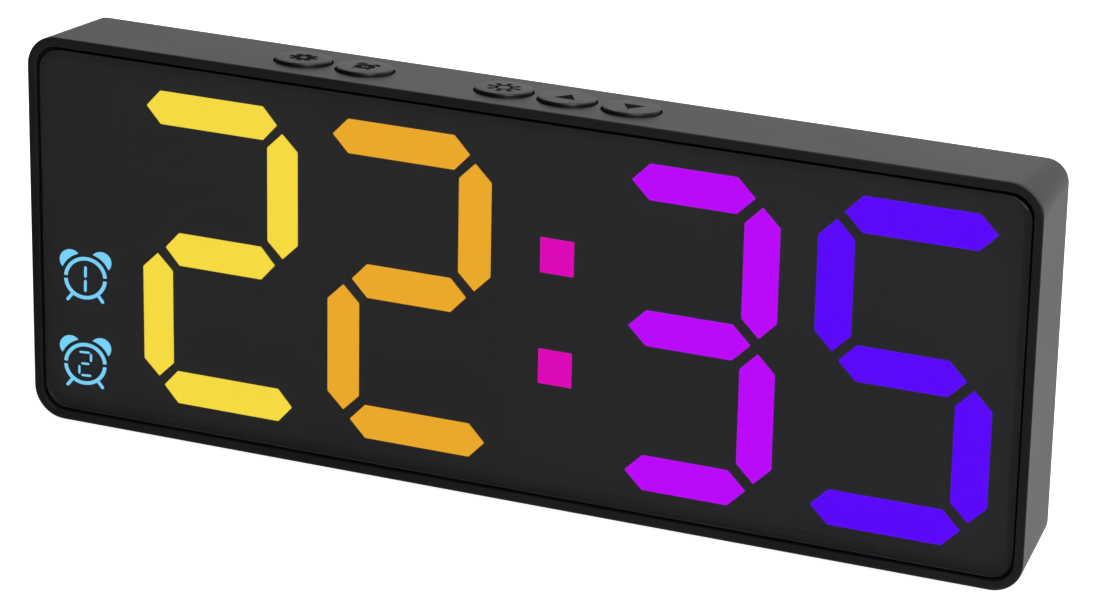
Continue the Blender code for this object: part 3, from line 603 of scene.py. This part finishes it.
def buildLens():
    inset = case["rim"] + lens["gap"]
    front = lens["recess"]
    rear = front + lens["thickness"]
    profile = roundProfile([(inset + lens["land"], front, 0), (inset, front, lens["edge"]),
                            (inset, rear, lens["rearEdge"]), (inset + lens["land"], rear, 0)], steps=5)
    build = bmesh.new()
    skinRings(build, [lensRing(grow, y) for grow, y in profile])
    piece = makePiece("frontLens", build, clockFrame)
    dress(piece, smokedAcrylic, "clock")
    # print on the side and round the back of the lens, which hides the ledge that carries it, charcoal as
    # seen through the lens; towards the groove a black skin on the lens side is painted shade of the groove
    side = front + lens["edge"]
    near, far = lens["borderSkin"]
    innerEnd = inset + lens["border"]
    inner = [(inset - near, side), (inset - near, rear + near), (inset + lens["borderStart"], rear + near),
             (innerEnd, mask["front"] - far), (innerEnd, mask["front"] - near),
             (inset - far, mask["front"] - near), (inset - far, side), (inset - near, side)]
    # black skin on the lens side: painted shade of the groove between lens and rim
    near, far = lens["grooveShadeSkin"]
    outer = [(inset - near, side), (inset - near, mask["front"]), (inset - far, mask["front"]),
             (inset - far, side), (inset - near, side)]
    printAndShade = []
    for name, rings, material in (("lensBorder", inner, printedBorder), ("lensGrooveShade", outer, paintedShadeAbs)):
        build = bmesh.new()
        skinRings(build, [lensRing(grow, y) for grow, y in rings], capped=False)
        bmesh.ops.remove_doubles(build, verts=build.verts, dist=weldDistance)
        printAndShade.append(dress(makePiece(name, build, clockFrame), material, "clock"))
    for part in [piece] + printAndShade:
        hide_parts("front_lens")


buildLens()

# segments that shine, and the dark ones beside them
print("digits")

# heights from the middle of the case and places from its centre, on the face of the segments
digits = {
    "face": 1.6,
    "webFront": 2.25,
    "webRear": 2.65,
    "rows": (22.6, -0.29, -23.475),
    "upper": (0.94, 21.35),
    "lower": (-22.12, -1.465),
    "idleStep": 2.0,
    "webMargin": 0.8,
    "webHeight": 53.0,
    "webDrop": 0.45,
    "webCorner": 0.6,
}
faces = {
    "hours_tens": {"columns": (-60.06, -38.65), "a": (-61.67, -39.54), "g": (-58.7, -39.95),
                   "d": (-59.17, -37.1), "lit": "abged", "tall": 0.989, "bar": 5.38, "post": 5.15,
                   "tip": 0.88, "tint": "yellow"},
    "hours_ones": {"columns": (-28.39, -6.74), "a": (-30.23, -7.64), "g": (-26.99, -8.01),
                   "d": (-27.25, -4.72), "lit": "abged", "tall": 0.994, "bar": 5.48, "post": 5.34,
                   "tip": 0.94, "tint": "orange"},
    "minutes_tens": {"columns": (17.22, 38.82), "a": (18.26, 37.61), "g": (18.26, 37.61),
                     "d": (18.26, 37.61), "lit": "abgcd", "tall": 1.001, "bar": 5.68, "post": 5.58,
                     "tip": 1.0, "tint": "violet"},
    "minutes_ones": {"columns": (50.22, 72.18), "a": (51.26, 74.5), "g": (51.22, 70.98),
                     "d": (47.81, 71.13), "lit": "afgcd", "tall": 1.007, "bar": 5.68, "post": 5.65,
                     "tip": 1.0, "tint": "blue"},
}
colon = {"x": 6.64, "z": (8.56, -9.19), "size": (5.45, 5.6), "web": (7.0, 24.9), "webDrop": 0.31}


def pointedBar(start, end, width, tip=1.0):
    first = Vector(start)
    second = Vector(end)
    along = (second - first).normalized()
    half = Vector((-along.y, along.x)) * width / 2
    along *= tip * width / 2
    corners = [first, first + along - half, second - along - half, second, second - along + half,
               first + along + half]
    return [(point.x, point.y + midHeight) for point in corners]


def segmentBars(face, keys):
    top, middle, bottom = digits["rows"]
    left, right = face["columns"]
    step = digits["idleStep"]
    spans = {key: ((face[key][0], height), (face[key][1], height))
             for key, height in (("a", top), ("g", middle), ("d", bottom))}
    for key, x, (low, high) in (("f", left, digits["upper"]), ("b", right, digits["upper"]),
                                ("e", left, digits["lower"]), ("c", right, digits["lower"])):
        if key not in face["lit"]:
            low += step if key in "ec" else 0
            high -= step if key in "fb" else 0
        spans[key] = ((x, low), (x, high))
    bars = []
    for key in keys:
        start, end = [(x, middle + (z - middle) * face["tall"]) for x, z in spans[key]]
        if key in "agd":
            bars.append(pointedBar(start, end, face["bar"], face["tip"]))
        else:
            bars.append(pointedBar(start, end, face["post"]))
    return bars


def oblong(x, z, width, height):
    return [(x - width / 2, z - height / 2), (x + width / 2, z - height / 2),
            (x + width / 2, z + height / 2), (x - width / 2, z + height / 2)]


def buildDigits():
    for name, face in faces.items():
        shown = slab(name + ".lit", [segmentBars(face, face["lit"])], digits["face"], digits["webFront"],
                     clockFrame)
        dress(shown, glow[name], "clock")
        spots = [point for bar in segmentBars(face, "abcdefg") for point in bar]
        low = min(x for x, z in spots) - digits["webMargin"]
        high = max(x for x, z in spots) + digits["webMargin"]
        web = roundedRectangle(high - low, digits["webHeight"], digits["webCorner"], (low + high) / 2,
                               midHeight - digits["webDrop"])
        back = slab(name + ".web", [[web]], digits["webFront"], digits["webRear"], clockFrame)
        # the dark segments stand behind the film, which covers them
        dark = slab(name + ".idle", [segmentBars(face, [key for key in "abcdefg" if key not in face["lit"]])],
                    mask["rear"], digits["webFront"], clockFrame)
        for piece in (back, dark):
            dress(piece, printedFilm, "clock")
        for piece in (shown, back, dark):
            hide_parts(name + "_segments")
    dots = [oblong(colon["x"], midHeight + z, *colon["size"]) for z in colon["z"]]
    shown = slab("colon.lit", [dots], digits["face"], digits["webFront"], clockFrame)
    dress(shown, glow["colon"], "clock")
    web = roundedRectangle(*colon["web"], digits["webCorner"], colon["x"], midHeight - colon["webDrop"])
    back = slab("colon.web", [[web]], digits["webFront"], digits["webRear"], clockFrame)
    dress(back, printedFilm, "clock")
    for piece in (shown, back):
        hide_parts("colon_dots")


buildDigits()

# the two alarm symbols at the left
print("icons")

icons = {
    "face": mask["front"] - 0.01,
    "places": {"alarm_one_icon": (-72.83, -7.72), "alarm_two_icon": (-73.12, -22.14)},
    "wide": 1.065,
    "lean": (0.027, 0.075),
    "ring": 3.25,
    "stroke": 0.6,
    "gap": 0.5,
    "bell": 1.75,
    "bellOut": 3.82,
    "bellTurn": 41.5,
    "bellClear": 0.6,
    "footTurn": 37.8,
    "footEnd": 4.72,
    "footStroke": 0.52,
    "oneStroke": 0.46,
    "twoStroke": 0.37,
    "plate": (9.7, 10.4),
    "plateCorner": 0.8,
}


def bellOutline(turn):
    far = icons["bellOut"]
    size = icons["bell"]
    clear = icons["ring"] + icons["stroke"] / 2 + icons["bellClear"]
    wide = math.acos((clear ** 2 - far ** 2 - size ** 2) / (2 * far * size))
    narrow = math.asin(size * math.sin(wide) / clear)
    centre = (far * math.cos(turn), far * math.sin(turn))
    return (arcPoints(size, turn - wide, turn + wide, 24, *centre)
            + arcPoints(clear, turn + narrow, turn - narrow, 10)[1:-1])


def footOutline(turn):
    out = Vector((math.cos(turn), math.sin(turn)))
    across = Vector((-out.y, out.x))
    half = icons["footStroke"] / 2
    start = out * icons["ring"]
    end = out * icons["footEnd"]
    cap = [end + (across * math.sin(a) + out * math.cos(a)) * half
           for a in (math.pi / 2 * i / 4 for i in range(-4, 5))]
    return [tuple(start - across * half)] + [tuple(point) for point in cap] + [tuple(start + across * half)]


def iconOutlines(figure):
    ring = icons["ring"]
    half = icons["stroke"] / 2
    gap = icons["gap"] / ring
    groups = []
    for start in (0, math.pi):
        groups.append([arcPoints(ring + half, start + gap / 2, start + math.pi - gap / 2, 32)
                       + arcPoints(ring - half, start + math.pi - gap / 2, start + gap / 2, 32)])
    for side in (-1, 1):
        groups.append([bellOutline(math.pi / 2 - side * math.radians(icons["bellTurn"]))])
        groups.append([footOutline(-math.pi / 2 + side * math.radians(icons["footTurn"]))])
    for stroke in figure:
        groups.append([[(x, z - midHeight) for x, z in stroke]])
    # the drawing is a little wide and rises towards the right
    along, above = icons["lean"]
    return [[[(x * icons["wide"] + z * along, z + x * above) for x, z in outline] for outline in outlines]
            for outlines in groups]


def buildIcons():
    one = [pointedBar(start, end, icons["oneStroke"]) for start, end in
           (((0, 0.04), (0, 2.05)), ((0, -2.34), (0, -0.24)))]
    two = [pointedBar(start, end, icons["twoStroke"]) for start, end in
           (((-1.07, 1.95), (0.79, 1.95)), ((0.93, 0.37), (0.93, 1.83)), ((-0.72, 0.03), (0.72, 0.03)),
            ((-1.0, -1.82), (-1.0, -0.25)), ((-0.7, -1.95), (1.05, -1.95)))]
    for name, figure in (("alarm_one_icon", one), ("alarm_two_icon", two)):
        x, z = icons["places"][name]
        place = clockFrame @ Matrix.Translation(Vector((x, 0, midHeight + z)) * mm)
        shown = slab(name + ".lit", iconOutlines(figure), icons["face"], digits["face"], place)
        dress(shown, glow["icon"], "clock")
        width, height = icons["plate"]
        plate = roundedRectangle(width, height, icons["plateCorner"])
        back = slab(name + ".plate", [[plate]], mask["rear"], digits["webRear"], place)
        dress(back, printedFilm, "clock")
        for piece in (shown, back):
            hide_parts(name)


buildIcons()


def buildMask():
    inset = case["rim"] + case["ledge"] + mask["gap"]
    radius = case["corner"] - inset
    edge = roundedRectangle(case["width"] - 2 * inset, case["height"] - 2 * inset, radius, 0, midHeight)
    outlines = [edge]
    for face in faces.values():
        outlines += segmentBars(face, face["lit"])
    for z in colon["z"]:
        outlines.append(oblong(colon["x"], midHeight + z, *colon["size"]))
    piece = slab("maskPlate", [outlines], mask["front"], mask["rear"], clockFrame)
    dress(piece, printedFilm, "clock")
    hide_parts("mask_plate")


buildMask()

# round caps on the top with sunk marks
print("buttons")

capMarks = {
    # depth of the sunk marks, and how far under and over their floor the near-black sheet of painted shade
    # reaches
    "depth": 0.08,
    "shadeSheet": (0.02, 0.01),
    "gear": {"outer": 2.3, "root": 0.7, "hub": 0.24, "teeth": 8, "rootTurn": 0.3, "tipTurn": 0.23},
    "clock": {"outer": 1.6, "hole": 0.34, "hand": (0, 0.1, 0.45, 0.7), "bell": 0.85, "bellOut": 0.14,
              "bellTurn": 37, "foot": (0.04, 0.55), "footHalf": 0.3, "footTurn": 38},
    "sun": {"outer": 2.65, "ring": 0.56, "hole": 0.34, "rays": 8, "rayStart": 0.6, "rayHalf": 0.42},
    "arrow": {"wide": 3.5, "tall": 3.1, "below": 0.42, "above": 0.58},
}


# a straight bar in a given direction, from one share of its reach from the middle to another
def rayOutline(turn, reach, start, end, half):
    out = Vector((math.cos(turn), math.sin(turn)))
    across = Vector((-out.y, out.x)) * half
    out *= reach
    return [tuple(out * start - across), tuple(out * end - across), tuple(out * end + across),
            tuple(out * start + across)]


def gearMark(look):
    outer = look["outer"]
    root = outer * look["root"]
    outline = []
    for i in range(look["teeth"]):
        turn = 2 * math.pi * i / look["teeth"]
        for radius, offset in ((root, -look["rootTurn"]), (outer, -look["tipTurn"]),
                               (outer, look["tipTurn"]), (root, look["rootTurn"])):
            outline.append((radius * math.cos(turn + offset), radius * math.sin(turn + offset)))
    return [[outline, circle(outer * look["hub"])]]


def clockMark(look):
    size = look["outer"]
    near, far = look["foot"]
    groups = [[circle(size), circle(size * look["hole"])], [oblong(*look["hand"])]]
    for side in (-1, 1):
        turn = math.pi / 2 - side * math.radians(look["bellTurn"])
        out = size + look["bellOut"]
        groups.append([arcPoints(look["bell"], turn - math.pi / 2, turn + math.pi / 2, 10,
                                 out * math.cos(turn), out * math.sin(turn))])
        turn = -math.pi / 2 + side * math.radians(look["footTurn"])
        groups.append([rayOutline(turn, 1, size + near, size + far, look["footHalf"])])
    return groups


def sunMark(look):
    outer = look["outer"]
    groups = [[circle(outer * look["ring"]), circle(outer * look["hole"])]]
    for i in range(look["rays"]):
        turn = 2 * math.pi * i / look["rays"]
        groups.append([rayOutline(turn, outer, look["rayStart"], 1, look["rayHalf"])])
    return groups


def arrowMark(look, side):
    half = look["wide"] / 2
    low = -look["tall"] * look["below"] * side
    return [[[(-half, low), (half, low), (0, look["tall"] * look["above"] * side)]]]


def buildButtons():
    marks = {"settings": gearMark(capMarks["gear"]), "alarm": clockMark(capMarks["clock"]),
             "brightness": sunMark(capMarks["sun"]), "up": arrowMark(capMarks["arrow"], 1),
             "down": arrowMark(capMarks["arrow"], -1)}
    for name, x in zip(buttons["names"], buttons["x"]):
        build = bmesh.new()
        radius = buttons["radius"]
        spin(build, roundProfile([(nearAxis, buttons["innerEnd"], 0), (radius, buttons["innerEnd"], 0),
                                  (radius, buttons["rise"], buttons["edge"]),
                                  (nearAxis, buttons["rise"], 0)], steps=6), buttons["steps"])
        place = topFrame @ Matrix.Translation(Vector((x, buttons["setback"], 0)) * mm)
        cap = makePiece(name + ".cap", build, place)
        floor = buttons["rise"] - capMarks["depth"]
        toolTop = buttons["rise"] + past / 2
        carve(cap, slab(name + ".tool", marks[name], floor, toolTop, place, lying=True))
        dress(cap, capAbs, name + "_key")
        # a near-black sheet on the floor of each sunk mark: painted shade of the recess
        under, above = capMarks["shadeSheet"]
        shadeSheet = slab(name + ".mark", marks[name], floor - under, floor + above, place, lying=True)
        dress(shadeSheet, paintedShadeAbs, name + "_key")
        for piece in (cap, shadeSheet):
            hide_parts(name + "_button")


buildButtons()

# what is seen from behind and below
print("back and feet")


def buildDoor():
    build = bmesh.new()
    inner, outer, skirt = door["skirt"]
    face = depth - door["thickness"]
    spin(build, roundProfile([(inner, face, 0), (inner, face - skirt, 0), (outer, face - skirt, 0),
                              (outer, face, 0), (door["radius"], face, 0),
                              (door["radius"], depth, door["edge"]), (nearAxis, depth, 0)], steps=5),
         96, toBack=True)
    place = clockFrame @ Matrix.Translation(Vector((caseHoles["wellX"], 0, midHeight)) * mm)
    piece = makePiece("batteryDoor", build, place)
    long, wide, deep = door["coinSlot"]
    edge = door["coinSlotEdge"]
    slot = bmesh.new()
    rings = [(0, depth - deep), (0, depth - edge), (edge, depth), (edge, depth + past)]
    skinRings(slot, [[(a, y, b) for a, b in roundedRectangle(long + 2 * grow, wide + 2 * grow,
                                                             wide / 2 - door["coinSlotFlat"] + grow)]
                     for grow, y in rings])
    carve(piece, makePiece("coinSlot", slot, place))
    dress(piece, mouldedAbs, "door")
    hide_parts("battery_door")


buildDoor()

screw = {
    "headFront": 10.2,
    "headRear": 11.6,
    "headRadius": 2.1,
    "headEdges": (0.05, 0.5),
    "shank": 1.1,
    "end": 3.85,
    "tip": (0.6, 1.0),
    "cross": (2.2, 0.5, 0.7),
}


def buildScrews():
    number = 0
    for x in caseHoles["postX"]:
        for z in caseHoles["postZ"]:
            number += 1
            build = bmesh.new()
            share, tip = screw["tip"]
            under, over = screw["headEdges"]
            spin(build, roundProfile([(nearAxis, screw["end"], 0), (screw["shank"] * share, screw["end"], 0),
                                      (screw["shank"], screw["end"] + tip, 0),
                                      (screw["shank"], screw["headFront"], 0),
                                      (screw["headRadius"], screw["headFront"], under),
                                      (screw["headRadius"], screw["headRear"], over),
                                      (nearAxis, screw["headRear"], 0)], steps=5), 48, toBack=True)
            place = clockFrame @ Matrix.Translation(Vector((x, 0, z)) * mm)
            piece = makePiece("caseScrew%d" % number, build, place)
            long, wide, deep = screw["cross"]
            half = wide / 2
            reach = long / 2
            plus = [(-half, half), (-half, reach), (half, reach), (half, half), (reach, half),
                    (reach, -half), (half, -half), (half, -reach), (-half, -reach), (-half, -half),
                    (-reach, -half), (-reach, half)]
            tool = slab("cross", [[plus]], screw["headRear"] - deep, screw["headRear"] + past / 2, place)
            carve(piece, tool)
            dress(piece, zincSteel, "clock")
            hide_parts("case_screw_%d" % number)


buildScrews()


def buildFeet():
    for side, name in ((-1, "left_foot"), (1, "right_foot")):
        build = bmesh.new()
        top = feet["thickness"]
        profile = roundProfile([(0, top, 0), (0, 0, feet["edge"]), (feet["border"], 0, 0)], steps=4)
        skinRings(build, [[(a, b, z) for a, b in
                           roundedRectangle(feet["length"] - 2 * grow, feet["width"] - 2 * grow,
                                            feet["corner"] - grow, side * feet["x"], feet["y"])]
                          for grow, z in profile])
        piece = makePiece(name + ".pad", build, Matrix.Identity(4))
        dress(piece, silicone, "clock")
        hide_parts(name)


buildFeet()

# inner parts that keep their solids
finishes = {
    absWhite: ("light_box",),
    solderMask: ("main_board",),
    nylonBlack: ("settings_switch", "alarm_switch", "brightness_switch", "up_switch", "down_switch",
                 "usb_tongue", "buzzer"),
    nylonWhite: ("settings_switch_plunger", "alarm_switch_plunger", "brightness_switch_plunger",
                 "up_switch_plunger", "down_switch_plunger"),
    epoxy: ("controller_chip", "driver_chip"),
    nickelSheet: ("clock_crystal", "usb_shell", "coin_cell", "negative_contact", "positive_contact"),
    drawnCan: ("capacitor",),
    blackPvc: ("negative_lead",),
    redPvc: ("positive_lead",),
}
for material, names in finishes.items():
    for name in names:
        for slotOfNode in nodes[name].material_slots:
            slotOfNode.material = material

# white sweep, lights and camera
print("studio")

# the sky's levels, and where on X, Y or Z each of its soft borders starts and ends
studio = {
    "floorMm": 9000,
    "floorGlow": 0.9,
    "frontSky": (0.008, 0.18),
    "frontX": (-0.25, 0.3),
    "backSky": ((0.05, 0.3), (0.4, 0.84), (0.65, 0.8)),
    "backY": (-0.4, 0.5),
    "rightSky": 5.5,
    "rightX": (0.65, 0.85),
    "rightY": (-0.2, 0.0),
    "rightZ": (0.0, -0.2),
    "lowSky": 0.5,
    "lowZ": (-0.45, -0.8),
    "aim": (0, 0, 0.03),
}
# size and place in metres: one high above, one high on the right in front
softboxes = {
    "overhead": {"power": 3.2, "size": 0.5, "place": (0.35, -0.3, 0.8)},
    "rightFront": {"power": 3.7, "size": 0.35, "place": (0.62, -0.52, 0.55)},
}
view = {
    "turn": 22.486,
    "rise": 20.867,
    "roll": 1.142,
    "distanceMm": 688.8,
    "aimMm": (2.697, 8.725, 29.556),
    "lensMm": 149.31,
    "sensorMm": 36.0,
    "clipStartMm": 10,
}


def buildFloor():
    build = bmesh.new()
    bmesh.ops.create_grid(build, x_segments=4, y_segments=4, size=studio["floorMm"] * mm / 2)
    floor = makePiece("floor", build, Matrix.Identity(4))
    material, tree, place = startMaterial("paintedWhiteFloor")
    cloud = addNode(tree, "ShaderNodeTexNoise", {"Scale": perMm(200), "Detail": 2.0},
                    {"Vector": (place, "Object")})
    tint = addNode(tree, "ShaderNodeValToRGB", {"stops": [(0.3, hexToLinear("#f6f6f6")),
                                                          (0.7, hexToLinear("#fbfbfb"))]},
                   {"Fac": (cloud, "Fac")})
    shader = addNode(tree, "ShaderNodeBsdfPrincipled",
                     {"Roughness": 0.9, "Specular IOR Level": 0.1, "Emission Color": (1, 1, 1, 1),
                      "Emission Strength": studio["floorGlow"]}, {"Base Color": (tint, "Color")})
    endMaterial(tree, shader)
    floor.data.materials.append(material)
    floor.visible_glossy = False


def buildSky():
    sky = bpy.data.worlds.new("studioSky")
    bpy.context.scene.world = sky
    sky.use_nodes = True
    tree = sky.node_tree
    tree.nodes.clear()
    place = addNode(tree, "ShaderNodeTexCoord")
    parts = addNode(tree, "ShaderNodeSeparateXYZ", {}, {"Vector": (place, "Generated")})
    across = addNode(tree, "ShaderNodeMapRange",
                     {"From Min": studio["frontX"][0], "From Max": studio["frontX"][1],
                      "To Min": studio["frontSky"][0], "To Max": studio["frontSky"][1]},
                     {"Value": (parts, "X")})
    turned = addNode(tree, "ShaderNodeMapRange", {"From Min": -1.0}, {"Value": (parts, "X")})
    behind = addNode(tree, "ShaderNodeValToRGB",
                     {"stops": [(spot, (level, level, level, 1)) for spot, level in studio["backSky"]]},
                     {"Fac": (turned, "Result")})
    deep = addNode(tree, "ShaderNodeMapRange",
                   {"From Min": studio["backY"][0], "From Max": studio["backY"][1],
                    "interpolation_type": "SMOOTHSTEP"},
                   {"Value": (parts, "Y"), "To Min": (across, "Result"), "To Max": (behind, "Color")})
    # a bright wall far on the right, and the lit floor, seen in edges that face them
    foot = addNode(tree, "ShaderNodeMapRange",
                   {"From Min": studio["rightZ"][0], "From Max": studio["rightZ"][1],
                    "To Max": studio["rightSky"]}, {"Value": (parts, "Z")})
    beside = addNode(tree, "ShaderNodeMapRange",
                     {"From Min": studio["rightY"][0], "From Max": studio["rightY"][1]},
                     {"Value": (parts, "Y"), "To Max": (foot, "Result")})
    wall = addNode(tree, "ShaderNodeMapRange",
                   {"From Min": studio["rightX"][0], "From Max": studio["rightX"][1]},
                   {"Value": (parts, "X"), "To Max": (beside, "Result")})
    low = addNode(tree, "ShaderNodeMapRange",
                  {"From Min": studio["lowZ"][0], "From Max": studio["lowZ"][1],
                   "To Max": studio["lowSky"]}, {"Value": (parts, "Z")})
    both = addNode(tree, "ShaderNodeMath", {"operation": "ADD"})
    tree.links.new(deep.outputs["Result"], both.inputs[0])
    tree.links.new(wall.outputs["Result"], both.inputs[1])
    shade = addNode(tree, "ShaderNodeMath", {"operation": "ADD"})
    tree.links.new(both.outputs[0], shade.inputs[0])
    tree.links.new(low.outputs["Result"], shade.inputs[1])
    path = addNode(tree, "ShaderNodeLightPath")
    seen = addNode(tree, "ShaderNodeMix", {"data_type": "RGBA"})
    tree.links.new(path.outputs["Is Camera Ray"], seen.inputs[0])
    tree.links.new(shade.outputs[0], seen.inputs[6])
    seen.inputs[7].default_value = (1, 1, 1, 1)
    skyLight = addNode(tree, "ShaderNodeBackground")
    tree.links.new(seen.outputs[2], skyLight.inputs["Color"])
    addNode(tree, "ShaderNodeOutputWorld", {}, {"Surface": (skyLight, "Background")})


def buildCamera():
    turn = math.radians(view["turn"])
    rise = math.radians(view["rise"])
    roll = math.radians(view["roll"])
    back = Vector((math.sin(turn) * math.cos(rise), -math.cos(turn) * math.cos(rise), math.sin(rise)))
    level = Vector((math.cos(turn), math.sin(turn), 0))
    above = back.cross(level)
    right = level * math.cos(roll) + above * math.sin(roll)
    up = back.cross(right)
    place = (Vector(view["aimMm"]) + back * view["distanceMm"]) * mm
    pose = Matrix((right, up, back)).transposed().to_4x4()
    pose.translation = place
    lensData = bpy.data.cameras.new("camera")
    lensData.lens = view["lensMm"]
    lensData.sensor_fit = "HORIZONTAL"
    lensData.sensor_width = view["sensorMm"]
    lensData.clip_start = view["clipStartMm"] * mm
    camera = bpy.data.objects.new("camera", lensData)
    camera.matrix_world = clockFrame @ pose
    bpy.context.scene.collection.objects.link(camera)
    bpy.context.scene.camera = camera


def buildSoftboxes():
    for name, look in softboxes.items():
        data = bpy.data.lights.new(name, "AREA")
        data.energy = look["power"]
        data.size = look["size"]
        light = bpy.data.objects.new(name, data)
        light.location = look["place"]
        light.rotation_euler = (Vector(studio["aim"]) - light.location).to_track_quat("-Z", "Y").to_euler()
        bpy.context.scene.collection.objects.link(light)


buildFloor()
buildSky()
buildSoftboxes()
buildCamera()
bpy.context.scene.view_settings.view_transform = "Standard"
bpy.context.scene.view_settings.look = "None"

print("finished")
